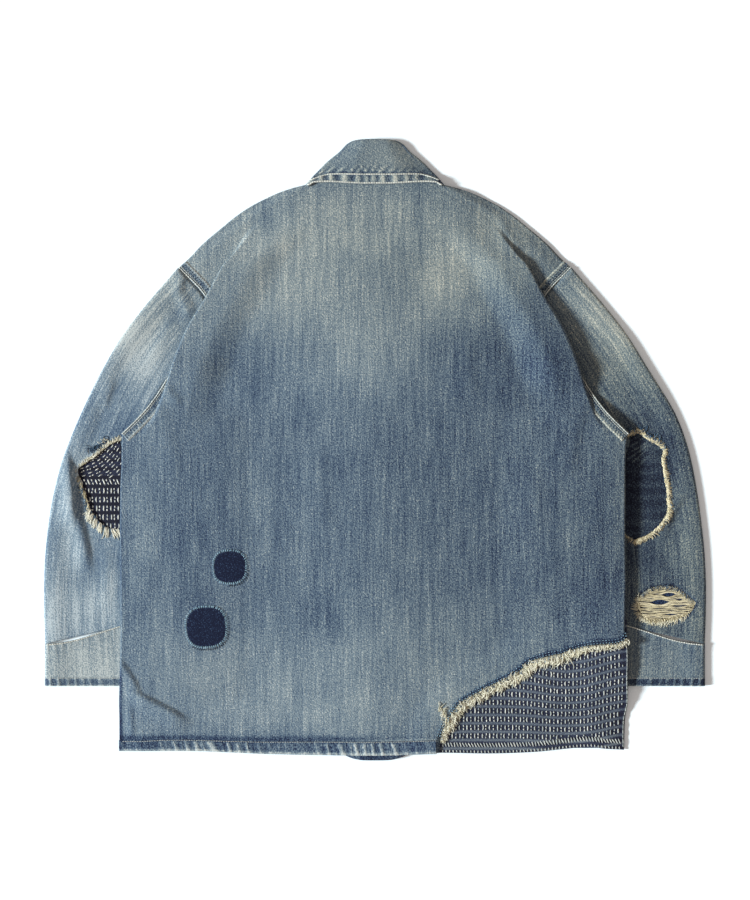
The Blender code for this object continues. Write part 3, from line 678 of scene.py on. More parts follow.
def front_points(side, upper, rows=150, columns=70):
    """A front's grid: at each height, from its inner edge out to the body's outline.  It lies on
    the table, and rises over the buttons or the other front, the collar and the sleeve."""
    y = np.concatenate((
        np.linspace(HEM_Y, UNDERARM_Y, rows // 2, endpoint=False),
        np.linspace(UNDERARM_Y, SHOULDER_Y, rows // 3, endpoint=False),
        np.linspace(SHOULDER_Y, FRONT_NECK[-1, 0], rows // 6),
    ))[:, None]
    inner_x = np.interp(y, FRONT_NECK[:, 0], FRONT_NECK[:, 1])
    x = inner_x + (outline_x(y) - inner_x) * np.linspace(0.0, 1.0, columns)
    y = np.broadcast_to(y, x.shape)
    reach = np.abs(x)
    over_buttons = OVER_BUTTONS * wane(reach, 21.0, 60.0)
    over_lap = OVER_LAP * wane(reach, 34.0, 90.0)
    carried = np.maximum(lift_over_sleeve(side * x, y), lift_over_leaf(x, y))
    z = 0.5 * WALL + np.maximum(carried, over_lap if upper else over_buttons)
    if upper:
        z = z + 0.5 * creases(x, y, FRONT_CREASES) * wane(reach, 180.0, 230.0)
    drop = FRONT_DROP * wane(y, HEM_Y, HEM_Y + 60.0) * np.exp(-(x / 46.0) ** 4)
    x = side * x
    return joined(x + drift(x, y), y - drop, z)


for name, side, upper, indigo_hem in (("left", -1.0, False, 0.1), ("right", 1.0, True, 0.3)):
    points = front_points(side, upper)
    x, y = points[..., 0], points[..., 1]
    at_edge = wane(y - HEM_Y + 15.0, 6.0, 22.0)
    fade = 0.50 + 0.12 * np.sin(x / 70.0) * np.sin(y / 110.0) - indigo_hem * at_edge
    front = cloth("front_panel_" + name, points, points[..., :2], fade, 0.3, denim, WALL)
    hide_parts("front_" + name)


# ================================================================ buttons
# Five cast metal buttons in a row up the front.  The jacket lies on them, so they show only from
# below, and they keep their modelled form.

button_metal, tree, shader = surface("button_metal", 0.38, 1.0)
place = wire(tree, "TexCoord").outputs["Object"]
cloud = wire(tree, "TexNoise", Vector=place, Scale=420.0, Detail=4.0).outputs[0]
metal_tone = ramp(tree, cloud, (
    (0.25, (92, 88, 82)), (0.50, (150, 146, 138)), (0.75, (188, 184, 174)),
))
dress(tree, shader, metal_tone, cloud, 0.3, 0.0002)
tarnish = wire(
    tree, "MapRange", Value=cloud, From_Min=0.3, From_Max=0.7, To_Min=0.55, To_Max=0.30,
)
tree.links.new(tarnish.outputs[0], shader.inputs["Roughness"])
for number in range(1, 6):
    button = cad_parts[f"button_{number}"]
    if not button.data.materials:
        button.data.materials.append(button_metal)
    for slot in button.material_slots:
        slot.link = "OBJECT"
        slot.material = button_metal


# ================================================================ sleeves
# Each sleeve is one tube of denim pressed flat, sewn to the armhole and narrowing to the cuff.
# The elbows are worn through, and the right one has a rip above its cuff.

SLEEVE = np.array((               # outer x, y, inner x, y, armhole's hollow kept, underarm swell
    (255, 237, 329, 21, 1.00, 0), (296, 190, 331, 3, 0.50, 26), (327, 150, 320, -18, 0.20, 32),
    (352, 108, 306, -40, 0.05, 38), (375, 62, 292, -62, 0.00, 40), (396, 14, 281, -88, 0.00, 26),
    (410, -27, 272, -112, 0.00, 12), (420, -70, 266, -136, 0.00, 4), (427, -120, 264, -162, 0.00, 0),
    (430, -168, 267, -186, 0.00, 0), (430, -212, 272, -204, 0.00, 0), (428.5, -252, 279, -218, 0.00, 0),
))
SLEEVE_LOW_Z, SLEEVE_TOP_Z = 0.6, 4.0
SLEEVE_BULGE = 1.8                   # how far the upper wall swells beside the outer fold
RIGHT_BEND = 8.5                     # how far the right elbow stands out beyond the left one
RIGHT_BEND_Y = 42.0
FOLD_RADIUS = 3.2                    # of a pressed tube's two folds, in plan
LEFT_ELBOW = np.array((
    (-331, 13), (-345, 7), (-363, -7), (-375, -15), (-386, -24), (-386.5, -29), (-381.5, -44),
    (-376, -60), (-371, -76), (-362, -90), (-350, -101), (-341, -103), (-322, -103), (-318, -50),
    (-322, 2),
))
RIGHT_ELBOW = np.array((
    (327, 18), (344, 21), (354, 14), (367, 7), (375, -1), (373, -12), (376, -33), (379, -49),
    (380, -66), (380, -81), (372, -95), (360, -107), (349, -113), (338, -117), (322, -107), (316, -50),
    (320, 0),
))
SLEEVE_RIP = np.array((
    (344, -190), (361, -178.5), (386, -177), (401, -184), (418, -198), (412, -210), (401, -217),
    (378, -222), (352, -221), (342, -208),
))
LEFT_CREASES = (
    (-392, -100, -401, -2, -2, 5.4, 14, 4.2), (-372, -160, -394, -66, -3, 3.8, 16, 4.6),
    (-240, 168, -254, 208, -3, 3.2, 8, 3), (-254, 200, -249, 228, 1, 2.6, 8, 3),
    (-300, 110, -262, 176, -3, 1.2, 6, 14), (-352, 52, -338, 92, 2, 1.6, 9, 4.5),
    (-340, 150, -402, 40, -5, 0.9, 16, 14), (-350, -120, -352, -210, 2, 0.9, 9, 8),
)
RIGHT_CREASES = (
    (374, -112, 402, -58, 3, 2.2, 10, 4.5), (300, 170, 388, 50, 6, 1.1, 18, 10),
    (398, -120, 402, -230, 0, 0.8, 10, 12), (334, 110, 360, 40, -2, 0.8, 10, 8),
)
LEFT_FADE = (
    (-262, 208, 60, 50, 0.10, 40), (-330, 120, 50, 80, 0.16, -35), (-396, -60, 26, 120, 0.27, 8),
    (-415, -220, 60, 70, 0.30, 0), (-330, -180, 40, 70, 0.02, 0), (-335, 45, 40, 30, -0.12, 0),
    # The first zone on the next line, a narrow dark strip, is painted shade beside the crease left of the
    # worn elbow.
    (-386, -75, 7, 70, -0.22, 10), (-300, 130, 60, 40, 0.20, -45), (-350, -195, 24, 30, 0.10, 0),
    (-332, 51, 30, 22, 0.14, 0), (-330, -150, 30, 50, 0.08, 0), (-372, -165, 20, 34, -0.12, 0),
    (-338, -215, 14, 22, 0.10, 0), (-254, 175, 20, 18, -0.09, 0), (-374, -2, 22, 22, 0.13, 0),
    (-293, 66, 16, 22, 0.10, 0),
)
RIGHT_FADE = (
    (296, 176, 70, 36, 0.30, -50), (340, 110, 34, 60, 0.10, 30), (372, 0, 30, 70, -0.12, 15),
    (360, -30, 34, 70, -0.06, 0), (380, -25, 16, 60, -0.09, 0), (412, -150, 16, 70, 0.10, 0),
    (405, -30, 22, 90, 0.04, 0), (370, -150, 60, 50, -0.08, 0), (372, -200, 70, 30, -0.04, 0),
    (415, -210, 20, 60, 0.02, 0), (345, -120, 24, 60, -0.13, 0), (352, 40, 20, 26, -0.10, 0),
)


def pressed_ring(plan, low, high, bulge):
    """A tube pressed flat over a plan line (rows x columns x 2) that runs from the outer fold to
    the inner one.  Its upper wall falls to the lower one round each fold as a quarter circle does."""
    along = np.hypot(plan[..., 0] - plan[:, :1, 0], plan[..., 1] - plan[:, :1, 1])
    from_fold = np.minimum(along, along[:, -1:] - along)
    roundness = np.sqrt(np.clip(1.0 - (1.0 - from_fold / FOLD_RADIUS) ** 2, 0.0, 1.0))
    roundness = np.where(from_fold > FOLD_RADIUS, 1.0, roundness)
    centre, half = 0.5 * (low + high), 0.5 * (high - low)
    swelling = bulge * bell(along, 12.0, 16.0) * roundness
    upper = np.concatenate((plan, (centre + half * roundness + swelling)[..., None]), axis=-1)
    lower = np.concatenate((plan, (centre - half * roundness)[..., None]), axis=-1)
    ring = np.concatenate((upper, lower[:, -2:0:-1]), axis=1)
    width = along[:, -1:]
    round_it = np.concatenate((along, 2.0 * width - along[:, -2:0:-1]), axis=1)
    return ring, round_it


def sleeve_grid(side, columns=70):
    """Each section runs from the outer fold to the inner one, bowed as the armhole is near it."""
    sections = through(SLEEVE, 12)
    seam = armhole[::-1]
    length = run_length(seam)
    share = 0.5 - 0.5 * np.cos(np.pi * np.linspace(0.0, 1.0, columns))
    chord = seam[0] + (seam[-1] - seam[0]) * share[:, None]
    hollow = at_places(share, length / length[-1], seam) - chord
    outer, inner = sections[:, None, 0:2], sections[:, None, 2:4]
    if side > 0.0:
        from_bend = sections[:, 1] - RIGHT_BEND_Y
        bend = RIGHT_BEND * np.exp(-(from_bend / np.where(from_bend > 0.0, 48.0, 78.0)) ** 2)
        outer = outer + joined(bend, 0.0 * bend)[:, None]
    keep, hook = sections[:, None, 4:5], sections[:, None, 5]
    plan = outer + (inner - outer) * share[:, None] + keep * hollow
    plan[..., 0] += 0.6 * keep[..., 0] + hook * 7.9 * share ** 2.5 * (1.0 - share)
    ring, round_it = pressed_ring(plan, SLEEVE_LOW_Z, SLEEVE_TOP_Z, SLEEVE_BULGE)
    ring[..., 0] *= side
    # The warp runs along the outer fold: a point's thread coordinates are its distance from that
    # fold and how far down the fold its nearest point lies.
    edge = outer[:, 0] * (side, 1.0)
    down = run_length(edge)
    from_fold, foot = distance_to(ring[..., 0], ring[..., 1], edge)
    at_inner = from_fold[:, columns - 1:columns]
    from_fold[:, columns:] = 2.0 * at_inner - from_fold[:, columns:]
    thread = joined(from_fold, np.interp(-foot[..., 1], -edge[:, 1], -down))
    return ring, thread, columns


sleeve_denim = denim_material("sleeve_denim", streaks=1.25)
for name, side, folds, shades, holes in (
    ("left", -1.0, LEFT_CREASES, LEFT_FADE, ((LEFT_ELBOW, 0.14, 6.0),)),
    ("right", 1.0, RIGHT_CREASES, RIGHT_FADE, ((RIGHT_ELBOW, 0.05, 6.0), (SLEEVE_RIP, -0.42, 2.6))),
):
    ring, thread, columns = sleeve_grid(side)
    x, y = ring[..., 0], ring[..., 1]
    on_top = np.zeros(x.shape)
    on_top[:, 1:columns - 1] = 1.0
    near_body = ease(np.abs(x) - np.minimum(outline_x(y), 320.0), -8.0, 14.0)
    ring[..., 2] += on_top * (creases(x, y, folds) * near_body)
    fade = (0.60 if side < 0.0 else 0.46) + zones(x, y, shades)
    tint = -0.25 + 0.70 * ease(y, 40.0, 230.0) if side < 0.0 else 1.25 - 0.35 * ease(y, 90.0, 190.0)
    gone = np.zeros((x.shape[0] - 1, x.shape[1]), bool)
    for outline, worn, width in holes:
        fade = fade + worn * np.exp(-(distance_to(x, y, outline)[0] / width) ** 2) * on_top
        inside_it = is_inside(middle(x[:, :columns]), middle(y[:, :columns]), outline)
        gone[:, :columns - 1] |= inside_it
    rims = [np.vstack((outline, outline[:1])) for outline, worn, width in holes]
    sleeve = cloth(
        "sleeve_tube_" + name, ring, thread, fade, tint, sleeve_denim, WALL, closed=True, hole=(gone, rims),
    )
    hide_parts("sleeve_" + name)


# ================================================================ cuffs
# A straight band of two plies, pressed flat, sewn round the sleeve's end by one row of pale
# thread and turned up at its hem, where the stitching has drawn it into puckers.

CUFF_TOP = through((
    (428.5, -252.3), (406.4, -250), (385.3, -245.5), (361.8, -238), (343, -232), (324.4, -226.5),
    (279, -214),
), 10)
CUFF_END_Y = -307.0
CUFF_ROWS = np.concatenate((         # how far down the cuff each row of its grid stands
    np.linspace(0.0, 0.12, 6)[:-1], np.linspace(0.12, 0.78, 16)[:-1], np.linspace(0.78, 1.0, 14),
))
CUFF_BULGE = 1.6
BAND_WALL = 1.8                      # two plies and what is turned in between them


def puckers(along, across, pitch, slant):
    """Ridges of a seam that has drawn up: narrow peaks, 0 to 1, about a pitch apart along it,
    slanting across it and uneven in spacing and height."""
    phase = (along + slant * across) / pitch + 0.34 * np.sin(along / 23.0) + 0.20 * np.sin(along / 9.1 + 1.0)
    height = 0.72 + 0.28 * np.sin(along / 31.0 + 2.0)
    return height * (0.5 + 0.5 * np.cos(2.0 * math.pi * phase)) ** 3


for name, side, level, tint in (("left", -1.0, 0.88, 0.2), ("right", 1.0, 0.58, 0.8)):
    share = 0.5 - 0.5 * np.cos(np.pi * np.linspace(0.0, 1.0, 96))
    top_x, top_y = at_places(share, np.linspace(0.0, 1.0, len(CUFF_TOP)), CUFF_TOP).T
    y = top_y + (CUFF_END_Y - top_y) * CUFF_ROWS[:, None]
    plan = joined(np.broadcast_to(top_x, y.shape), y)
    ring, round_it = pressed_ring(plan, 0.5 * BAND_WALL, SLEEVE_TOP_Z + 0.3, CUFF_BULGE)
    above_hem = ring[..., 1] - CUFF_END_Y
    below_seam = np.interp(np.abs(ring[..., 0]), CUFF_TOP[::-1, 0], CUFF_TOP[::-1, 1]) - ring[..., 1]
    in_hem = wane(above_hem, 9.0, 12.0)
    hem_rib = puckers(round_it, above_hem, 10.5, 0.15) * in_hem
    seam_rib = puckers(round_it + 4.0, below_seam, 9.0, -0.1) * bell(below_seam, 0.0, 11.0)
    upper = ring[..., 2] > 2.6
    lump = 0.5 * in_hem + 0.7 * hem_rib + 0.6 * seam_rib + 0.5 * bell(below_seam, 2.0, 2.2)
    ring[..., 2] += np.where(upper, lump, 0.0)
    ring[..., 0] *= side
    fade = level + 0.44 * hem_rib - 0.44 * in_hem * ease(above_hem, 0.6, 2.4) + 0.22 * seam_rib
    fade = fade + 0.12 * ease(above_hem, 7.5, 9.0) * wane(above_hem, 10.5, 12.0)
    fade = fade - 0.10 * bell(below_seam, 0.0, 14.0)
    thread = joined(round_it, ring[..., 1])
    cuff = cloth("cuff_band_" + name, ring, thread, fade, tint, denim, BAND_WALL, closed=True)
    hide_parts("cuff_" + name)


# ================================================================ collar
# A stand sewn to the neck and a fall that turns down over it, each of two plies.  The fall is
# stitched round its edge in two rows, and is puckered between them.  Its front ends lie below.

COLLAR = np.array((               # neck seam x, y, crease x, y, outer edge x, y, angle of the layer
    (0, 368.5, 0, 403.5, 0, 345, 90), (26, 366.8, 15, 403.2, 33, 344.5, 90),
    (47, 362.5, 28, 401.4, 62, 343.6, 90), (64, 356, 35.5, 397.5, 80, 342.6, 90),
    (69.4, 352.4, 38, 395, 86, 342, 90), (69.4, 352, 38, 394.3, 86.2, 341.5, 45),
    (69.4, 351.6, 38, 393.6, 86.3, 341, 0), (69.4, 351.2, 38, 392.8, 86.4, 340.5, -45),
    (69.4, 350.8, 38, 392, 86.5, 340, -90), (50, 306.5, 29, 358, 96, 300, -90),
    (32, 291.5, 20, 325, 84, 264, -90), (13, 286.5, 10, 302, 30, 284, -90),
))
COLLAR_MIDDLE_Z = 5.5
STAND_HALF_HEIGHT = 1.6
FALL_HALF_HEIGHT = 4.4
STAND_DEPTH, STAND_WALL = 36.0, 2.0
FALL_DEPTH, FALL_WALL = 58.0, 2.2
COLLAR_PRESSED = 0.62                # how far its sloping ends are pressed down, of its half height


def collar_grid(first, last, half_height, shares, bulge):
    """Rows from one edge of a band to the other, each right round the neck; first and last are
    the columns of COLLAR where each edge's x stands.  bulge, one a row, is how far the band's
    sides swell outwards between its upper and lower layers, as a share of half_height.  The
    band's sloping ends are pressed down."""
    table = through(COLLAR, 9)
    turn = np.radians(table[:, 6])
    start, end = table[:, first:first + 2], table[:, last:last + 2]
    plan = start + shares[:, None, None] * (end - start)
    plan = plan + half_height * bulge[:, None, None] * np.cos(turn)[:, None] * np.array((0.8, 0.6))
    to_end = plan[..., 0] / plan[..., 0].max(axis=1, keepdims=True)
    pressed = COLLAR_PRESSED * half_height * ease(to_end, 0.3, 1.0) * ease(plan[..., 1], 344.0, 358.0)
    height = COLLAR_MIDDLE_Z + half_height * np.sin(turn) - pressed * (1.0 + np.sin(turn))
    half = np.concatenate((plan, height[..., None]), axis=-1)
    whole = np.concatenate((half[:, :0:-1] * (-1.0, 1.0, 1.0), half), axis=1)
    return whole, np.broadcast_to(np.concatenate((turn[:0:-1], turn)), whole.shape[:2])


def from_centre_back(points):
    """Distance along each row from the collar's middle."""
    along = np.cumsum(np.hypot(*np.gradient(points[..., :2], axis=1).transpose(2, 0, 1)), axis=1)
    return along - along[:, [along.shape[1] // 2]]


shares = np.linspace(0.0, 1.0, 12)
points, turn = collar_grid(0, 2, STAND_HALF_HEIGHT, shares, wane(shares, 0.6, 1.0))
round_it = from_centre_back(points)
thread = joined(round_it, STAND_DEPTH * np.broadcast_to(shares[:, None], turn.shape))
stand = cloth("collar_stand_band", points, thread, 0.5, 0.4, denim, STAND_WALL)
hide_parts("collar_stand")

# The fall's first rows roll over the crease towards the stand; the rest run down to its edge.
shares = np.concatenate((np.linspace(0.0, 0.70, 20)[:-1], np.linspace(0.70, 1.0, 18)))
points, turn = collar_grid(2, 4, FALL_HALF_HEIGHT, shares, ease(shares, 0.0, 0.5))
depth = FALL_DEPTH * shares[:, None]
round_it = from_centre_back(points)
from_edge = FALL_DEPTH - depth
between_rows = ease(from_edge, 1.6, 3.5) * wane(from_edge, 10.0, 12.5)
inside_rows = ease(from_edge, 13.5, 16.0) * wane(from_edge, 20.0, 27.0)
edge_rib = puckers(round_it, from_edge, 14.5, 0.05) ** 0.5 * between_rows
inner_rib = puckers(round_it + 5.0, from_edge, 12.0, -0.9) * inside_rows
outward = np.maximum(np.sin(turn), 0.0)
dip = 1.3 * bell(depth, 0.0, 2.4)
points[..., 2] += outward * (1.0 * edge_rib + 0.9 * inner_rib - dip)
along_edge = np.abs(points[..., 0])
rise = 3.9 * ease(along_edge, 10.0, 74.0) - 4.5 * ease(along_edge, 78.0, 90.0)
points[..., 1] += rise * ease(shares[:, None], 0.4, 1.0) * outward
edge_band = ease(from_edge, 1.0, 3.0) * wane(from_edge, 11.0, 13.0)
fade = 0.64 + 0.72 * edge_rib + 0.55 * inner_rib - 0.30 * edge_band
# Painted shadow: a dark line just above the upper row of stitching, where the row's shadow falls.
fade = fade - 0.30 * bell(from_edge, 15.2, 1.3)
fade = fade - 0.20 * bell(from_edge, 19.5, 4.5)
# Painted shade: the fall grows darker towards its right end, which faces away from the lamp.
fade = fade + 0.05 * np.sin(round_it / 19.0) - 0.10 * ease(points[..., 0], 30.0, 80.0)
thread = joined(0.6 * round_it - 0.8 * depth, 0.8 * round_it + 0.6 * depth)
# Painted shade: the right end is also made browner, as the shade there looks warm.
tint = 0.82 + 0.25 * ease(points[..., 0], 20.0, 80.0)
collar_denim = denim_material("collar_denim", streaks=0.45)
fall = cloth("collar_fall_band", points, thread, fade, tint, collar_denim, FALL_WALL)
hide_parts("collar_fall")
fall_points = points
shares_of_fall = shares


# ================================================================ thread work
# Stitches and loose yarns.  Each strand is a thin four-sided tube along its own short path, and
# a whole row or tuft of them is one mesh.

def yarn_material(name, stops, roughness=0.95):
    """Cotton yarn.  Each strand's own tone picks its colour from the ramp, and a fine ply mottles it."""
    material, tree, shader = surface(name, roughness)
    tone = wire(tree, "Attribute", {"attribute_name": "tone"}).outputs["Fac"]
    place = wire(tree, "TexCoord").outputs["Object"]
    ply = wire(tree, "TexNoise", Vector=place, Scale=900.0, Detail=2.0).outputs[0]
    level = math_node(tree, "MULTIPLY_ADD", math_node(tree, "SUBTRACT", ply, 0.5), 0.5, tone)
    dress(tree, shader, ramp(tree, level, stops), ply, 0.4, 0.0003)
    shader.inputs["Specular IOR Level"].default_value = 0.2
    return material


cream_yarn = yarn_material("cream_yarn", (
    (0.0, (58, 68, 82)), (0.25, (112, 116, 108)), (0.5, (168, 167, 148)),
    (0.8, (211, 210, 188)), (1.0, (238, 237, 220)),
))
tan_yarn = yarn_material("tan_yarn", (
    (0.0, (104, 96, 76)), (0.3, (160, 151, 122)), (0.6, (208, 200, 166)), (1.0, (242, 235, 205)),
))
pale_thread = yarn_material("pale_thread", (
    (0.0, (112, 122, 124)), (0.5, (178, 186, 182)), (1.0, (228, 232, 224)),
))
blue_thread = yarn_material("blue_thread", (
    (0.0, (22, 32, 62)), (0.5, (104, 140, 168)), (1.0, (160, 196, 212)),
))


def strands(name, paths, radii, tone, material):
    """Tubes along many paths at once (strands x points x 3), each point with its own radius.  The
    four corners of each ring stand across the path: to its left, above, to its right and below."""
    count, steps = paths.shape[:2]
    ahead = np.gradient(paths, axis=1)
    ahead /= np.linalg.norm(ahead, axis=2, keepdims=True) + 1e-9
    beside = np.cross(ahead, (0.0, 0.0, 1.0))
    beside /= np.linalg.norm(beside, axis=2, keepdims=True) + 1e-9
    above = np.cross(beside, ahead)
    ring = np.stack((beside, above, -beside, -above), axis=2) * radii[..., None, None]
    places = (paths[:, :, None] + ring).reshape(-1, 3)
    number = np.arange(count * steps * 4).reshape(count, steps, 4)
    this, following = number[:, :-1], number[:, 1:]
    side = np.stack((
        this, np.roll(this, -1, axis=2), np.roll(following, -1, axis=2), following,
    ), axis=-1).reshape(-1, 4)
    piece = quad_mesh(name, places, np.vstack((side, number[:, 0, ::-1], number[:, -1])), material)
    give(piece, "tone", np.repeat(tone, steps * 4))
    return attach(piece, "root")


def evenly(path, pitch):
    """Places a pitch apart along a path, and the direction of the path at each."""
    length = run_length(path)
    at = np.arange(0.5 * pitch, length[-1], pitch)
    way = at_places(at, length, np.gradient(path, axis=0))
    return at_places(at, length, path), way / np.linalg.norm(way, axis=1, keepdims=True)


STITCH_SHAPE = np.array((0.5, 0.95, 1, 0.95, 0.5))     # a stitch's radii, end to end


def dashes(centres, way, length, radius):
    """Short stitches: paths of five points that dip at their ends, and their radii."""
    t = np.linspace(-0.5, 0.5, 5)
    paths = centres[:, None] + way[:, None] * (t * length)[:, None]
    paths[..., 2] -= 0.5 * radius * (2.0 * t) ** 4
    return paths, np.broadcast_to(radius * STITCH_SHAPE, paths.shape[:2])


def stitch_row(name, path, pitch, length, radius, material, seed, tone):
    """A row of stitches along a path, a pitch apart, each of a tone near the given one."""
    centres, way = evenly(path, pitch)
    paths, radii = dashes(centres, way, length, radius)
    shades = tone + np.random.default_rng(seed).uniform(-0.2, 0.2, len(centres))
    return strands(name, paths, radii, shades, material)


# ================================================================ patch at the torn corner
# Dark cotton quilted all over with pale running stitch, in bands: every other column has one long
# stitch, and the rest two short ones.  It lies under the torn denim and reaches seam and hem.

CORNER_PATCH_LEFT = np.array((    # height, inner edge
    (-388, 56), (-350, 68), (-312, 122), (-287, 165), (-262, 212), (-241, 250), (-220, 290),
))
PATCH_SIDE_X = BODY_HALF_WIDTH + 3.0
PATCH_WALL = 1.0
COLUMN_PITCH = 4.9
BAND_PITCH = 10.9
QUILT_RADIUS = 0.88                  # of the quilting's thread

quilted, tree, shader = surface("quilted_cotton")
thread = wire(tree, "UVMap", {"uv_map": "thread"}).outputs[0]
uv = wire(tree, "SeparateXYZ", Vector=thread).outputs
in_band = math_node(tree, "ABSOLUTE", math_node(tree, "SUBTRACT", math_node(tree, "FRACT", uv["Y"]), 0.5))
ruffle = math_node(tree, "MULTIPLY", grain(tree, uv["X"], uv["Y"], 0.45, 0.25), 0.22)
bar = wire(
    tree, "MapRange",
    Value=math_node(tree, "ADD", in_band, ruffle), From_Min=0.27, From_Max=0.42,
)
bars = wire(tree, "Attribute", {"attribute_name": "tint"}).outputs["Fac"]
worn = wire(tree, "Attribute", {"attribute_name": "fade"}).outputs["Fac"]
yarns = grain(tree, uv["X"], uv["Y"], 0.22, 0.16, 3.0)
level = math_node(tree, "MULTIPLY_ADD", bar.outputs[0], bars, worn)
level = math_node(tree, "MULTIPLY_ADD", yarns, 1.3, level)
quilt_tone = ramp(tree, level, (
    (0.0, (12, 17, 38)), (0.25, (24, 32, 60)), (0.60, (66, 78, 98)), (1.0, (124, 138, 146)),
))
dress(tree, shader, quilt_tone, level, 0.5, 0.0006)

share = np.linspace(0.0, 1.0, 96)
patch_y = np.linspace(CORNER_PATCH_LEFT[0, 0], CORNER_PATCH_LEFT[-1, 0], 62)[:, None]
left_edge = read(through(CORNER_PATCH_LEFT), patch_y)
patch_x = left_edge + (PATCH_SIDE_X - left_edge) * share
patch_y = np.broadcast_to(patch_y, patch_x.shape)
patch_x = patch_x + drift(patch_x, patch_y)


def corner_sway(x, y):
    """How far the bands sag in the middle of the patch and climb to the side seam."""
    sag = 8.5 * bell(x, 247.0, 40.0) * (0.25 + 0.75 * ease(y, -380.0, -290.0))
    return 8.0 * ease(x, 268.0, 335.0) - sag


def corner_height(x, y):
    """The patch's middle: the body's form, with a low swell where its bands sag."""
    swell = 1.2 * bell(x, 285.0, 24.0) + 0.9 * bell(x, 215.0, 30.0)
    band = (y - corner_sway(x, y) - HEM_Y) / BAND_PITCH
    return back_height(x, y) + swell + 0.35 * np.cos(2.0 * math.pi * band)


y = patch_y - hem_hang(patch_x, patch_y)
points = joined(patch_x, y, corner_height(patch_x, y))
thread = joined(patch_x / COLUMN_PITCH, (y - corner_sway(patch_x, y) - HEM_Y) / BAND_PITCH)
from_side = PATCH_SIDE_X + drift(BODY_HALF_WIDTH, patch_y) - patch_x
worn = 0.235 - 0.16 * bell(from_side, 5.0, 1.8) + 0.10 * ease(patch_y, -340.0, -388.0)
corner_patch = cloth("corner_patch_cloth", points, thread, worn, 0.47, quilted, PATCH_WALL)
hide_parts("patch_hem_corner")


def running_stitch(column_range, band_range, plan_of, height_of, seed):
    """Paths of the stitches, which run up the columns: plan_of turns column and band numbers into
    plan points.  In each band an even column has one long stitch and an odd one two short ones."""
    rng = np.random.default_rng(seed)
    column, band = np.meshgrid(np.arange(*column_range), np.arange(*band_range))
    column, band = column.ravel(), band.ravel()
    single = column % 2 == 0
    column = np.concatenate((column[single], column[~single], column[~single])).astype(float)
    pairs = np.full((~single).sum(), 0.19)
    shift = np.concatenate((np.zeros(single.sum()), pairs, -pairs))
    band = np.concatenate((band[single], band[~single], band[~single])) + 0.5 + shift
    size = np.where(shift == 0.0, 0.64, 0.26) * rng.uniform(0.85, 1.1, len(band))
    bow = np.where(shift == 0.0, 0.12, 0.05) * rng.normal(size=len(band))
    column = column + 0.5 + rng.normal(0.0, 0.05, len(band))
    t = np.linspace(-0.5, 0.5, 5)
    column = column[:, None] + bow[:, None] * (1.0 - 4.0 * t * t)
    x, y = plan_of(column, band[:, None] + size[:, None] * t)
    z = height_of(x, y) + 0.75 - 0.5 * (2.0 * t) ** 4
    return joined(x, y, z), rng


def corner_plan(column, band):
    """A stitch's place on the corner patch: upright columns, and bands that sway."""
    x = column * COLUMN_PITCH
    y = HEM_Y + band * BAND_PITCH
    y = y + corner_sway(x, y + corner_sway(x, y))
    return x, y


paths, rng = running_stitch((12, 68), (-1, 17), corner_plan, corner_height, 5)
middle_x, middle_y = paths[:, 2, 0], paths[:, 2, 1]
hem_y = HEM_Y - read(hem_wave, middle_x)
side_x = BODY_HALF_WIDTH + drift(BODY_HALF_WIDTH, middle_y)
shown = is_inside(middle_x, middle_y, beyond) & (middle_y > hem_y + 15.0) & (middle_x < side_x - 4.0)
paths = paths[shown]
radii = np.broadcast_to(QUILT_RADIUS * STITCH_SHAPE, paths.shape[:2])
shades = rng.uniform(0.20, 0.80, len(paths))
corner_stitches = strands("corner_patch_stitches", paths, radii, shades, pale_thread)


def slanting_row(name, up, pitch, length, turn, radius, tone, seed):
    """A row of short slanting stitches along the patch's hem, up above its edge."""
    rng = np.random.default_rng(seed)
    x = np.arange(88.0, BODY_HALF_WIDTH - 8.0, pitch)
    y = HEM_Y + up - read(hem_wave, x)
    centres = joined(x, y, corner_height(x, y) + 0.9)
    turn = np.radians(turn + rng.normal(0.0, 6.0, len(x)))
    way = joined(np.cos(turn), np.sin(turn), np.zeros(len(x)))
    paths, radii = dashes(centres, way, length, radius)
    return strands(name, paths, radii, tone + rng.uniform(-0.2, 0.2, len(x)), pale_thread)


corner_sewn = [
    corner_stitches,
    slanting_row("corner_hem_row", 10.6, 3.9, 7.4, -66.0, 0.78, 0.55, 8),
    slanting_row("corner_hem_dots", 2.2, 4.6, 3.8, -84.0, 0.72, 0.55, 9),
]
# The patch's rolled side edge.
roll_y = np.linspace(-252.0, -390.0, 60)
roll_x = BODY_HALF_WIDTH + drift(BODY_HALF_WIDTH, roll_y) + 1.6 + 0.5 * np.sin(roll_y / 11.0)
roll = joined(roll_x, roll_y, corner_height(roll_x, roll_y) + 0.55)
corner_sewn.append(stitch_row("corner_side_roll", roll, 6.0, 6.6, 0.62, pale_thread, 10, 0.40))


# ================================================================ elbow patches
# A patch sewn inside each sleeve shows through its worn elbow: on the left the same quilted cotton
# as at the corner, lying partly askew, and on the right a plain piece of dark, unfaded denim.

ELBOW_PATCH = np.array((          # height, inner edge, outer edge
    (-126, 300, 396), (-80, 306, 402), (-50, 314, 400), (-20, 322, 394), (4, 330.5, 386),
    (24, 335, 370),
))
RAYS = np.array((                 # pale lines where the dark patch is drawn up
    (364, 17, 326, -6, 1, 0.34, 1.1, 1.1), (362, 12, 325, -14, 1, 0.40, 1, 1.2),
    (360, 7, 328, -22, 0.6, 0.28, 1.2, 1.2), (356, 20, 326, 2, 1, 0.28, 1, 1),
    (366, 3, 338, -26, 0, 0.16, 1.6, 1.6), (350, 22, 328, 10, 0.5, 0.18, 1, 1),
))
DARK_PATCH_FADE = ((368, -2, 12, 16, 0.08, 0), (350, -98, 24, 14, 0.09, -30))
STRAIGHT_X, STRAIGHT_Y = -372.1, -53.0     # the middle of the straight rows
STRAIGHT_PITCH, STRAIGHT_BAND = 4.8, 11.45
ASKEW_X, ASKEW_Y = -399.0, 41.0            # the point that the askew rows bend round


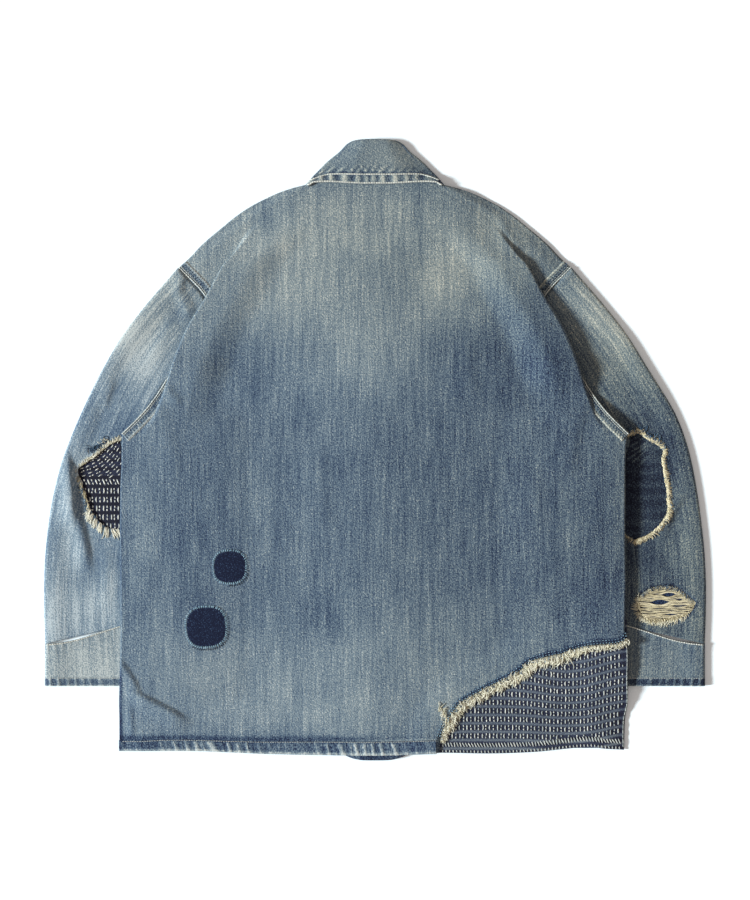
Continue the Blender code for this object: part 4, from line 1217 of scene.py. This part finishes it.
def elbow_edges(y):
    """The x of an elbow patch's inner and outer edge at height y, without its side's sign."""
    return (np.interp(y, ELBOW_PATCH[:, 0], ELBOW_PATCH[:, column]) for column in (1, 2))


def elbow_grid(side):
    """Straight rows from the inner to the outer edge."""
    y = np.linspace(ELBOW_PATCH[0, 0], ELBOW_PATCH[-1, 0], 110)[:, None]
    inner, outer = elbow_edges(y)
    x = inner + (outer - inner) * np.linspace(0.0, 1.0, 70)
    return side * x, np.broadcast_to(y, x.shape)


def elbow_height(x, y):
    """An elbow patch lies inside its sleeve, a little uneven."""
    return 2.35 + 0.25 * np.sin(y / 9.0) + 0.25 * np.sin(x / 7.0 + y / 13.0)


def straight_rows(column, band):
    """Upright columns and level bands."""
    return STRAIGHT_X + STRAIGHT_PITCH * (column - 20.5), STRAIGHT_Y + STRAIGHT_BAND * (band - 0.5)


def askew_rows(column, band):
    """Rows bent round a point above the patch's outer corner: column sets the distance from that
    point, and band the angle round it."""
    distance, turn = 20.0 + 4.5 * column, -0.62 + 0.125 * band
    return ASKEW_X + distance * np.cos(turn), ASKEW_Y + distance * np.sin(turn)


def turned_row(column, band):
    """One row of stitches that lean outward, where the askew rows meet the straight ones."""
    x, y = straight_rows(column, band)
    return x - 0.45 * (y + 41.5), y


x, y = elbow_grid(-1.0)
points = joined(x, y, elbow_height(x, y))
across, up = (x - STRAIGHT_X) / STRAIGHT_PITCH, (y - STRAIGHT_Y) / STRAIGHT_BAND + 0.5
# Painted shade: the patch is darker towards its outer side, where the rim of the worn hole shades it.
fade = 0.27 - 0.14 * wane(x, -386.0, -366.0)
thread = joined(across, up)
left_elbow = cloth("elbow_patch_quilted", points, thread, fade, -0.40, quilted, PATCH_WALL)
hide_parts("patch_elbow_left")
rows = []
for seed, plan_of, low_y, high_y in (
    (6, straight_rows, -122.0, -47.0), (7, askew_rows, -35.0, 22.0), (8, turned_row, -47.0, -36.0),
):
    paths, rng = running_stitch((0, 42), (-12, 16), plan_of, elbow_height, seed)
    x, y = paths[:, 2, 0], paths[:, 2, 1]
    inner, outer = elbow_edges(y)
    rows.append(paths[(y > low_y) & (y < high_y) & (-x > inner + 2.0) & (-x < outer - 2.0)])
paths = np.concatenate(rows)
thick = np.where(paths[:, 2, 1] > -36.0, 0.72, QUILT_RADIUS)[:, None]
radii = thick * np.array((0.45, 0.95, 1.0, 0.95, 0.45))
shades = rng.uniform(0.55, 1.0, len(paths))
elbow_stitches = strands("elbow_patch_stitches", paths, radii, shades, pale_thread)

x, y = elbow_grid(1.0)
points = joined(x, y, elbow_height(x, y))
fade = 0.13 + 0.06 * np.sin(y / 2.6 + 0.4 * np.sin(x / 9.0)) + creases(x, y, RAYS)
# Painted shade: the patch is darker along its inner side, where the body's edge casts its shadow.
fade = fade + zones(x, y, DARK_PATCH_FADE) - 0.10 * wane(x, 334.0, 352.0)
dark_denim = denim_material("dark_denim", streaks=0.4)
right_elbow = cloth("elbow_patch_dark", points, points[..., :2], fade, 1.5, dark_denim, PATCH_WALL)
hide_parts("patch_elbow_right")


# ================================================================ round patches
# Two rounded pieces of dark denim low on the left of the back, their edges turned under and held
# by small light-blue whip stitches that reach over the edge into the jacket.

def body_top(x, y):
    """Height of the topmost layer of the back's middle at plan points: each is read from the row of
    the back's grid at its own height, as the highest of the row's chords that pass over it."""
    shape = np.shape(x)
    x, y = np.ravel(x), np.ravel(y)
    level = y + hem_hang(x, y)
    row = np.clip(np.interp(level, row_y, np.arange(len(row_y))), 0.0, len(row_y) - 1.001)
    lower = row.astype(int)
    share = (row - lower)[:, None]
    across = back_x[lower] * (1.0 - share) + back_x[lower + 1] * share
    height = back_top[lower] * (1.0 - share) + back_top[lower + 1] * share
    x = np.clip(x, across[:, 0] + 0.2, across[:, -1] - 0.2)
    run = across[:, 1:] - across[:, :-1]
    t = (x[:, None] - across[:, :-1]) / np.where(np.abs(run) < 1e-6, 1e-6, run)
    chord = height[:, :-1] + t * (height[:, 1:] - height[:, :-1])
    return np.max(np.where((t >= 0.0) & (t <= 1.0), chord, -1.0), axis=1).reshape(shape)


ROUND_POWER = 2.6
ROUND_WALL = 0.9


def rounded(angle):
    """Radius of a circle squared up a little, 1 along the axes: |cos| and |sin| are raised to
    ROUND_POWER and added, and the sum is raised to minus the power's inverse."""
    total = np.abs(np.cos(angle)) ** ROUND_POWER + np.abs(np.sin(angle)) ** ROUND_POWER
    return total ** (-1.0 / ROUND_POWER)


patch_denim = denim_material("patch_denim", streaks=0.25, bump=0.35)
for name, centre_x, centre_y, radius, turn, tails_from, seed in (
    ("upper", -188.6, -151.8, 21.0, 0.0, 0.75, 21), ("lower", -219.2, -229.7, 26.0, 0.06, 0.2, 22),
):
    # A square sheet drawn in to a disc: x is u root(1 - v v / 2), and y likewise.
    spread = np.sin(0.5 * math.pi * np.linspace(-1.0, 1.0, 31))
    u, v = np.meshgrid(spread, spread)
    disc_x, disc_y = u * np.sqrt(1.0 - 0.5 * v * v), v * np.sqrt(1.0 - 0.5 * u * u)
    from_middle = np.hypot(disc_x, disc_y)
    reach = radius * rounded(np.arctan2(disc_y, disc_x)) * 0.97
    x = centre_x + reach * (disc_x * math.cos(turn) - disc_y * math.sin(turn))
    y = centre_y + reach * (disc_x * math.sin(turn) + disc_y * math.cos(turn))
    crown = 0.85 + 0.35 * (1.0 - from_middle ** 6)
    points = joined(x, y, body_top(x, y) + crown)
    fade = -0.04 + 0.12 * ease(from_middle, 0.92, 1.0)
    patch = cloth("round_patch_" + name, points, points[..., :2], fade, 0.0, patch_denim, ROUND_WALL)
    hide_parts("patch_round_" + name)
    rng = np.random.default_rng(seed)
    count = int(2.0 * math.pi * radius / 2.5)
    angle = (np.arange(count) + rng.uniform(-0.15, 0.15, count)) * 2.0 * math.pi / count
    edge = radius * rounded(angle)
    t = np.linspace(0.0, 1.0, 6)
    out = edge[:, None] + np.outer(rng.uniform(0.8, 1.2, count), np.linspace(-1.3, 1.9, 6))
    swing = angle[:, None] + turn + rng.normal(0.0, 0.02, count)[:, None] * t
    x, y = centre_x + out * np.cos(swing), centre_y + out * np.sin(swing)
    z = body_top(x, y) + 1.05 + 0.75 * np.sin(math.pi * np.clip(1.15 - t, 0.0, 1.0))
    paths = joined(x, y, z)
    radii = np.broadcast_to(0.50 * np.array((0.6, 0.9, 1.0, 1.0, 0.9, 0.5)), paths.shape[:2])
    whip = strands("whip_stitches_" + name, paths, radii, rng.uniform(0.70, 1.1, count), blue_thread)
    # Darker thread ends stand out beyond the lower right of the edge.
    tail = angle[np.cos(angle + 0.9) > tails_from]
    out = radius * rounded(tail)[:, None] + np.linspace(2.2, 5.0, 4)
    x, y = centre_x + out * np.cos(tail[:, None] + turn), centre_y + out * np.sin(tail[:, None] + turn)
    paths = joined(x, y, body_top(x, y) + np.array((1.0, 1.15, 1.05, 0.7)))
    radii = np.broadcast_to(0.40 * np.array((0.7, 1.0, 0.9, 0.5)), paths.shape[:2])
    ends = strands("whip_ends_" + name, paths, radii, rng.uniform(0.0, 0.2, len(tail)), blue_thread)


# ================================================================ seams of the back
# Felled bands where the sleeves are sewn in, stitched in rows of pale thread, and the turned hem.
# Washing has drawn them up into pale ridges with unfaded indigo between.

def offset(path, distance):
    """A plan path moved sideways to its left by a distance, which may vary along it."""
    ahead = np.gradient(path, axis=0)
    normal = joined(-ahead[:, 1], ahead[:, 0]) / np.linalg.norm(ahead, axis=1, keepdims=True)
    return path + normal * np.reshape(distance, (-1, 1))


def resampled(path, count):
    """Evenly spaced points of a path, and how far along it each stands."""
    length = run_length(path)
    at = np.linspace(0.0, length[-1], count)
    return at_places(at, length, path), at


def seam_height(x, y, inward):
    """Top of the cloth that a sleeve seam's band lies on: the sleeve beside the seam, and the body
    inward of it, under the pleat where the pleat covers it."""
    under = ease(y, 44.0, 58.0)
    body = body_top(x, y) * (1.0 - under) + back_height(x, y) * under
    return np.maximum(body + 0.6, SLEEVE_TOP_Z + 0.7 - 0.3 * np.clip(inward, 0.0, None))


def hem_width(x):
    """How wide the hem is turned up, as a multiple of HEM_ROW: more in the middle than at the
    left side."""
    return 1.20 + 0.32 * ease(x, -230.0, -40.0)


FELL_WALL = 0.7                      # of the bands that stand for a seam's folded layers
HEM_ROW = 9.5                        # how far above the hem's edge its stitching runs, at width 1
seam_line, round_seam = resampled(armhole, 190)
on_back = []
for name, side in (("left", -1.0), ("right", 1.0)):
    inward = np.concatenate((np.linspace(-0.8, 3.0, 5), np.linspace(4.2, 11.4, 7), (12.4, 13.2)))
    plan = np.stack([offset(seam_line, distance) for distance in inward])
    x, y = side * plan[..., 0], plan[..., 1]
    along = np.broadcast_to(round_seam, x.shape)
    inward = np.broadcast_to(inward[:, None], x.shape)
    rib = puckers(along, inward, 4.3, 0.35)
    lump = 0.35 + 0.55 * rib * ease(inward, 3.0, 5.0) * wane(inward, 10.0, 12.8)
    lump = lump - 0.45 * bell(inward, 3.0, 0.8) - 0.5 * ease(inward, 11.5, 13.2)
    indigo_band = ease(inward, 1.8, 3.2) * wane(inward, 8.0, 10.5)
    fade = 0.66 - 0.07 * side + 0.34 * rib * ease(inward, 3.4, 5.0) - 0.22 * indigo_band
    fade = fade + 0.18 * ease(inward, 10.5, 12.0)
    fade = fade + 0.07 * np.sin(along / 5.3) * np.sin(along / 3.1 + inward / 2.0)
    points = joined(x, y, seam_height(x, y, inward) + lump)
    if side > 0.0:                           # so that its upper face still looks up
        points, fade = points[:, ::-1], fade[:, ::-1]
    tint = 0.7 + 0.5 * side
    on_back.append(cloth("armhole_band_" + name, points, points[..., :2], fade, tint, denim, FELL_WALL))
    glare = 0.15 if side > 0.0 else 0.0      # the right-hand band faces the lamp
    for row, (distance, length, radius, yarn, tone) in enumerate((
        (0.6, 3.6, 0.62, pale_thread, 0.95 - glare), (3.2, 3.2, 0.42, pale_thread, 0.75 - glare),
        (5.2, 1.5, 0.50, blue_thread, 0.10), (8.0, 1.5, 0.50, blue_thread, 0.10),
        (11.2, 2.6, 0.34, pale_thread, 0.45 - glare),
    )):
        line = offset(seam_line, distance)
        x, y = side * line[:, 0], line[:, 1]
        path = joined(x, y, seam_height(x, y, distance) + 1.05)
        on_back.append(stitch_row(
            f"armhole_row_{row}_{name}", path, 3.3, length, radius, yarn, 31 + row, tone,
        ))

# The hem: a band from edge to stitching, right across to the torn corner.
along = np.linspace(-BODY_HALF_WIDTH - 0.6, 80.0, 260)
upward = np.concatenate(((-0.9, -0.2), np.linspace(0.8, 9.0, 9), (10.2, 11.0)))[:, None]
x = np.broadcast_to(along, (len(upward), len(along)))
hang = read(hem_wave, x)
y = HEM_Y + upward * hem_width(x) - hang
x = x + drift(x, y)
upward = np.broadcast_to(upward, x.shape)
rib = np.minimum(1.35 * puckers(x, upward, 15.0, 0.45), 1.0) ** 2.4
thin = puckers(x + 6.0, upward, 9.3, 0.4) ** 1.7
ridge = np.maximum(rib, 0.6 * thin) * wane(upward, 8.6, 10.0)
at_edge = wane(upward, -0.9, 0.8)
lump = 0.35 + 0.7 * ridge - 0.35 * bell(upward, 9.4, 0.9) - 0.6 * at_edge
fade = 0.34 + 0.54 * ridge + 0.42 * wane(upward, 0.4, 2.4)
fade = fade + 0.10 * np.sin(x / 27.0) * np.sin(x / 11.0) - 0.20 * wane(x, -331.0, -318.0)
points = joined(x, y, body_top(x, np.maximum(y, HEM_Y - hang + 0.1)) + 0.6 + lump)
thread = joined(x, upward)
on_back.append(cloth("back_hem_band", points, thread, fade, 0.2, denim, FELL_WALL))
line_y = HEM_Y + HEM_ROW * hem_width(along) + 1.3 * ease(along, -310.0, -270.0) - read(hem_wave, along)
path = joined(along, line_y, body_top(along, line_y) + 1.35)
on_back.append(stitch_row("back_hem_row", path, 3.2, 2.7, 0.40, pale_thread, 41, 0.55))

# Two rows of pale dots hold the torn corner's turned edge.
for row, distance in enumerate((1.4, 4.6)):
    line = offset(resampled(TEAR, 200)[0], distance)
    line = line[(line[:, 0] < BODY_HALF_WIDTH - 1.0) & (line[:, 1] > HEM_Y + 14.0)]
    path = np.column_stack((line, body_top(line[:, 0], line[:, 1]) + 0.75))
    on_back.append(stitch_row(f"corner_edge_row_{row}", path, 4.0, 1.8, 0.52, blue_thread, 51 + row, 0.75))


# ================================================================ fray at the torn corner
# Washing has combed the weft out of the torn edge: curled cream yarns lie over the patch in a band
# a finger's breadth wide, and a tuft of them stands up at the corner of the tear.

ALL = (1, 1)                         # bundles that leave no gap
FRAY_POINTS = 8


def fray(name, rng, height_of, path, spacing, reach, lean, curl, lift, radius, tones, material,
         bundles=ALL, width=None):
    """Loose yarns along a plan path.  Each leaves the path to its right, turned by lean (mean and
    scatter, degrees), bends by curl as it goes, and rises from the cloth and comes back in one arc.
    reach, lift and tones are lowest and highest values.  Neighbours lean and reach alike, in clumps
    of about 6 mm; bundles are their pitch and the share of it that has yarns; width is a function
    of the place that scales the reach."""
    start, way = evenly(path, spacing)
    along = spacing * np.arange(len(start))
    kept = (along + 1.3 * np.sin(along / 8.0)) % bundles[0] <= bundles[0] * bundles[1]
    knots = np.arange(0.0, along[-1] + 12.0, 6.0)
    together = np.interp(along[kept], knots, rng.normal(size=len(knots)))
    likeness = np.interp(along[kept], knots, rng.uniform(0.72, 1.22, len(knots)))
    start, way = start[kept], way[kept]
    count = len(start)
    heading = np.arctan2(way[:, 1], way[:, 0]) - 0.5 * math.pi
    heading = heading + np.radians(lean[0] + lean[1] * (0.8 * together + 0.6 * rng.normal(size=count)))
    bend = np.radians(curl[0] + curl[1] * (0.7 * together + 0.7 * rng.normal(size=count)))
    t = np.linspace(0.0, 1.0, FRAY_POINTS)
    waver = 0.12 * rng.normal(size=(count, FRAY_POINTS)).cumsum(axis=1)
    angle = heading[:, None] + bend[:, None] * (t - 0.2) + waver
    length = rng.uniform(*reach, count) * likeness
    if width is not None:
        length = length * width(start[:, 0], start[:, 1])
    step = length[:, None] / (FRAY_POINTS - 1) * np.where(t > 0.0, 1.0, 0.0)
    start = start + rng.normal(0.0, 0.45, start.shape)
    x = start[:, :1] + np.cumsum(step * np.cos(angle), axis=1)
    y = start[:, 1:] + np.cumsum(step * np.sin(angle), axis=1)
    arc = rng.uniform(*lift, count)[:, None] * np.sin(math.pi * t) ** 0.8
    paths = joined(x, y, height_of(x, y) + arc)
    taper = np.interp(t, (0.0, 0.6, 1.0), (1.0, 1.0, 0.45))
    radii = rng.uniform(0.75, 1.15, count)[:, None] * radius * taper
    return strands(name, paths, radii, rng.uniform(*tones, count), material)


def frays(prefix, rng, height_of, table, width=None):
    """One piece of loose yarns for each row of a table.  Columns: name, path, spacing, reach,
    lean, curl, lift, radius, tones, yarn and, where there are gaps, bundles."""
    return [fray(prefix + name, rng, height_of, *row, width=width) for name, *row in table]


def at_tear(x, y):
    """Height for a yarn: it comes over the torn edge and lies down on the patch."""
    away = distance_to(x, y, TEAR)[0] * np.where(is_inside(x, y, beyond), 1.0, -1.0)
    down = ease(away, -0.5, 5.0)
    on_patch = corner_height(x, y) + 1.2
    return (body_top(x, y) + 0.8) * (1.0 - down) + on_patch * down


def on_body(x, y):
    """Height for a yarn that lies on the back."""
    return body_top(x, y) + 0.9


def tear_width(x, y):
    """The band of yarns is narrow where the tear meets the hem and where it runs out at the side."""
    return (0.45 + 0.55 * ease(y, -375.0, -348.0)) * (1.0 - 0.60 * ease(x, 252.0, 284.0))


rng = np.random.default_rng(61)
edge = resampled(TEAR, 260)[0]
edge = edge[(edge[:, 0] < BODY_HALF_WIDTH - 3.0) & (edge[:, 1] > -380.0)]
on_back += frays("corner_fray_", rng, at_tear, (
    ("0", offset(edge, 0.0), 0.75, (9.0, 14.0), (-4.0, 14.0), (-30.0, 45.0),
     (0.2, 0.9), 0.46, (0.25, 0.65), cream_yarn),
    ("1", offset(edge, -1.0), 1.00, (10.0, 16.0), (8.0, 20.0), (-55.0, 60.0),
     (0.8, 2.0), 0.54, (0.65, 1.00), cream_yarn),
    ("2", offset(edge, -3.0), 1.30, (10.0, 16.0), (0.0, 38.0), (-130.0, 90.0),
     (1.2, 3.0), 0.50, (0.75, 1.05), cream_yarn),
    ("3", offset(edge, -6.5), 1.80, (6.0, 10.0), (0.0, 50.0), (-130.0, 90.0),
     (0.8, 2.0), 0.46, (0.65, 1.00), cream_yarn),
    ("4", offset(edge, -2.0), 5.00, (7.0, 13.0), (0.0, 40.0), (-90.0, 90.0),
     (1.0, 2.4), 0.42, (0.70, 1.00), tan_yarn),
    ("5", offset(edge, -0.5), 5.00, (6.0, 11.0), (0.0, 46.0), (-60.0, 90.0),
     (1.0, 2.2), 0.38, (0.10, 0.50), blue_thread),
), width=tear_width)
tuft_line = np.array(((96.0, -360.0), (93.0, -348.0), (88.0, -338.0), (84.0, -332.0)))
tuft_line = resampled(tuft_line, 40)[0]
on_back += frays("corner_tuft_", rng, on_body, (
    (number, tuft_line, spacing, reach, lean, (-40.0, 110.0), (0.3, 1.6), 0.40, (0.65, 1.05), yarn)
    for number, spacing, reach, lean, yarn in (
        ("0", 0.9, (5.0, 10.0), (80.0, 60.0), cream_yarn),
        ("1", 1.6, (5.0, 11.0), (200.0, 60.0), cream_yarn),
        ("2", 4.0, (5.0, 11.0), (200.0, 60.0), tan_yarn),
    )
))


# ================================================================ fray at the elbows
# Round each worn elbow the yarns lie along the edge and turn out over the sleeve: tan and thin at
# the top left, in long pale bundles below it, and in a thick cream edge on the right sleeve.

def on_sleeve(folds):
    """The function that gives the height for a yarn on a sleeve with these creases."""
    def height(x, y):
        return SLEEVE_TOP_Z + 0.75 + creases(x, y, folds)
    return height


left_top, right_top = on_sleeve(LEFT_CREASES), on_sleeve(RIGHT_CREASES)
rng = np.random.default_rng(71)
# The left outline runs from its top, down its outer side, to the bottom: the sleeve is on its right.
upper_left, side_left, lower_left = (through(LEFT_ELBOW[a:b], 6) for a, b in ((0, 5), (4, 9), (8, 13)))
fold_left = np.array(((-372.0, -5.0), (-360.0, 3.0), (-347.0, 12.0)))
on_left = frays("left_elbow_", rng, left_top, (
    ("upper", upper_left, 0.60, (4.5, 8.5), (-52.0, 20.0), (20.0, 50.0),
     (0.1, 1.1), 0.42, (0.7, 1.1), cream_yarn),
    ("upper_rim", upper_left, 2.6, (2.5, 5.5), (-70.0, 16.0), (0.0, 30.0),
     (0.2, 0.8), 0.44, (0.3, 0.7), tan_yarn),
    ("side", side_left, 0.80, (5.0, 9.0), (60.0, 14.0), (-10.0, 30.0),
     (0.1, 1.1), 0.46, (0.1, 0.8), tan_yarn, (9, 0.8)),
    ("side_pale", side_left, 2.4, (5.0, 10.0), (60.0, 16.0), (0.0, 40.0),
     (0.2, 1.2), 0.36, (0.4, 0.9), cream_yarn),
    ("bundles", lower_left, 0.36, (11.5, 14.0), (30.0, 3.0), (-4.0, 6.0),
     (0.5, 1.7), 0.50, (0.85, 1.15), cream_yarn, (7.6, 0.50)),
    ("lower_rim", lower_left, 2.4, (3.0, 7.0), (40.0, 24.0), (0.0, 40.0),
     (0.1, 0.6), 0.34, (0.2, 0.6), blue_thread),
    ("loops", fold_left, 1.4, (12.0, 20.0), (160.0, 60.0), (300.0, 90.0),
     (0.4, 2.2), 0.36, (0.05, 0.30), blue_thread),
    ("corner_tuft", fold_left[1:] + (3.0, 5.0), 0.8, (4.0, 8.0), (170.0, 60.0), (0.0, 90.0),
     (0.3, 1.8), 0.42, (0.8, 1.1), cream_yarn, (30, 0.3)),
    ("lower_loops", side_left[-14:] + (-5.0, -3.0), 1.5, (6.0, 11.0), (120.0, 60.0), (160.0, 90.0),
     (0.3, 1.5), 0.36, (0.1, 0.4), blue_thread),
))
# The right outline runs the other way round, so the sleeve is on its left.
edge = through(RIGHT_ELBOW[0:14], 6)
top_right, bottom_right = through(RIGHT_ELBOW[0:5], 6), through(RIGHT_ELBOW[11:15], 6)
on_right = frays("right_elbow_", rng, right_top, (
    ("braid", edge, 0.55, (5.4, 8.6), (126.0, 12.0), (50.0, 30.0),
     (0.3, 1.5), 0.48, (0.45, 1.0), tan_yarn, (13, 0.92)),
    ("cross", offset(edge, 0.8), 0.9, (4.6, 8.4), (216.0, 16.0), (-40.0, 45.0),
     (0.5, 1.8), 0.44, (0.6, 1.0), tan_yarn, (17, 0.8)),
    ("pale", offset(edge, 0.4), 2.4, (3.5, 7.0), (170.0, 30.0), (0.0, 70.0),
     (0.5, 1.6), 0.36, (0.5, 0.9), cream_yarn),
    ("indigo", offset(edge, 2.6), 3.0, (3.0, 7.0), (165.0, 50.0), (0.0, 90.0),
     (0.7, 2.1), 0.42, (0.0, 0.35), blue_thread, (9, 0.5)),
    ("top", top_right, 0.70, (7.0, 15.0), (170.0, 34.0), (60.0, 110.0),
     (0.3, 2.0), 0.42, (0.05, 0.40), blue_thread),
    ("top_pale", top_right, 1.5, (4.0, 10.0), (170.0, 40.0), (40.0, 110.0),
     (0.6, 2.2), 0.32, (0.2, 0.7), tan_yarn),
    ("bottom", bottom_right, 1.3, (3.0, 7.0), (170.0, 35.0), (0.0, 90.0),
     (0.3, 1.4), 0.32, (0.2, 0.8), tan_yarn),
))


# ================================================================ rip above the right cuff
# The warp is worn away and the white weft still crosses the hole, parted in places.  A scrap of
# dark denim behind it paints the shade inside the sleeve.  Broken warp ends make a short fringe
# along its lower edge.

PARTINGS = (                      # where the weft opens: x, y, half width, half height
    (370.5, -198, 10.5, 3.8), (382, -188.5, 7.5, 2.8), (396, -195, 4, 1.6), (358.5, -193.5, 6, 1.3),
    (370, -207, 13, 0.7), (395, -203, 9, 0.7), (374, -183, 6, 1), (366, -187.5, 5, 0.9),
    (384, -213, 10, 0.5),
)
SCRAP_WALL = 0.8
rng = np.random.default_rng(81)
# Painted shade: a dark denim scrap under the rip stands for the shade inside the sleeve.
u, v = np.meshgrid(np.linspace(338.0, 422.0, 40), np.linspace(-226.0, -172.0, 30))
scrap = joined(u, v, 2.5 + 0.2 * np.sin(u / 9.0))
on_right.append(cloth("rip_shade_backing", scrap, scrap[..., :2], 0.10, 0.0, patch_denim, SCRAP_WALL))
# A weft runs from one side of the rim to the other: where its height is between two corners' heights.
lines = np.linspace(-179.5, -220.0, 56) + rng.normal(0.0, 0.2, 56)
rim = np.vstack((SLEEVE_RIP, SLEEVE_RIP[:1]))
(ax, ay), (bx, by) = rim[:-1].T, rim[1:].T
crossing = (ay > lines[:, None]) != (by > lines[:, None])
where = ax + (lines[:, None] - ay) / np.where(ay == by, 1.0, by - ay) * (bx - ax)
first = np.where(crossing, where, 1e6).min(axis=1) + 1.0 + rng.uniform(-1.5, 2.0, len(lines))
last = np.where(crossing, where, -1e6).max(axis=1) - 1.0 + rng.uniform(-2.0, 1.5, len(lines))
kept = last - first > 6.0
lines, first, last = lines[kept, None], first[kept, None], last[kept, None]
t = np.linspace(0.0, 1.0, 26)
x = first + (last - first) * t
swings, phase = rng.uniform(0.7, 1.9, (2, len(lines), 1))
y = lines + 0.8 * np.sin(2.0 * math.pi * (t * swings + phase))
y = y + 1.6 * np.sin(math.pi * t) * (lines + 200.0) / 22.0
for centre_x, centre_y, wide, high in PARTINGS:
    push = high * np.exp(-((x - centre_x) / wide) ** 4) * np.exp(-np.abs(y - centre_y) / 3.4)
    y = y + np.where(lines > centre_y, push, -push)
z = SLEEVE_TOP_Z + 0.85 + rng.uniform(-0.4, 0.4, (len(lines), 1)) - 0.8 * np.sin(math.pi * t)
radii = np.broadcast_to(rng.uniform(0.34, 0.54, (len(lines), 1)), x.shape)
shades = rng.uniform(0.50, 1.0, len(lines))
on_right.append(strands("rip_wefts", joined(x, y, z), radii, shades, tan_yarn))
lower_edge = through(SLEEVE_RIP[[0, 9, 8, 7, 6, 5, 4]], 6)
upper_edge = through(SLEEVE_RIP[[4, 3, 2, 1, 0]], 6)
on_right += frays("rip_", rng, right_top, (
    ("fringe", lower_edge, 0.70, (4.5, 8.5), (0.0, 20.0), (0.0, 40.0),
     (0.1, 1.0), 0.40, (0.60, 1.0), cream_yarn),
    ("inner_fringe", offset(lower_edge, 3.0), 1.0, (5.0, 9.0), (0.0, 26.0), (0.0, 40.0),
     (0.3, 1.2), 0.36, (0.35, 0.9), tan_yarn),
    ("upper_fringe", upper_edge, 0.90, (3.5, 7.0), (180.0, 30.0), (0.0, 40.0),
     (0.1, 0.7), 0.34, (0.15, 0.7), cream_yarn),
    ("dark_fringe", upper_edge, 1.40, (3.5, 7.0), (175.0, 40.0), (0.0, 40.0),
     (0.2, 0.9), 0.36, (0.0, 0.3), blue_thread),
))


# ================================================================ stitching of cuffs and collar
# Pale thread, one row round the top and the hem of each cuff, and two rows round the collar's
# edge.  The fall's rows meet at its ends, as its corners are turned under.

for name, side, loose in (("left", -1.0, on_left), ("right", 1.0, on_right)):
    seam = CUFF_TOP[CUFF_TOP[:, 0] > 300.0]
    swelling = CUFF_BULGE * np.exp(-((CUFF_TOP[0, 0] - seam[:, 0] - 12.0) / 16.0) ** 2)
    path = np.column_stack((side * seam[:, 0], seam[:, 1] - 1.2, SLEEVE_TOP_Z + 2.25 + swelling))
    loose.append(stitch_row("cuff_seam_row_" + name, path[1:], 3.2, 3.6, 0.85, pale_thread, 91, 0.80))
    path = np.column_stack((
        side * seam[:, 0], np.full(len(seam), CUFF_END_Y + 10.4), SLEEVE_TOP_Z + 1.6 + swelling,
    ))
    loose.append(stitch_row("cuff_hem_row_" + name, path[1:], 3.2, 2.7, 0.45, pale_thread, 92, 0.6))

upper_layer = np.flatnonzero(outward[0] > 0.6)
plan_x = fall_points[-1, upper_layer, 0]
for row, (depth_of, radius) in enumerate(((12.8, 1.05), (1.7, 1.1))):
    in_from = depth_of * (1.0 - 0.5 * ease(np.abs(plan_x), 66.0, 90.0) * (row == 0))
    at = np.interp(1.0 - in_from / FALL_DEPTH, shares_of_fall, np.arange(len(shares_of_fall)))
    lower = np.minimum(at.astype(int), len(shares_of_fall) - 2)
    mix = (at - lower)[:, None]
    path = fall_points[lower, upper_layer] * (1.0 - mix) + fall_points[lower + 1, upper_layer] * mix
    path = path[2:-2] + (0.0, 0.0, 1.35)
    stitch_row(f"collar_row_{row}", path, 3.2, 4.4, radius, pale_thread, 95 + row, 0.85)


low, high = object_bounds()
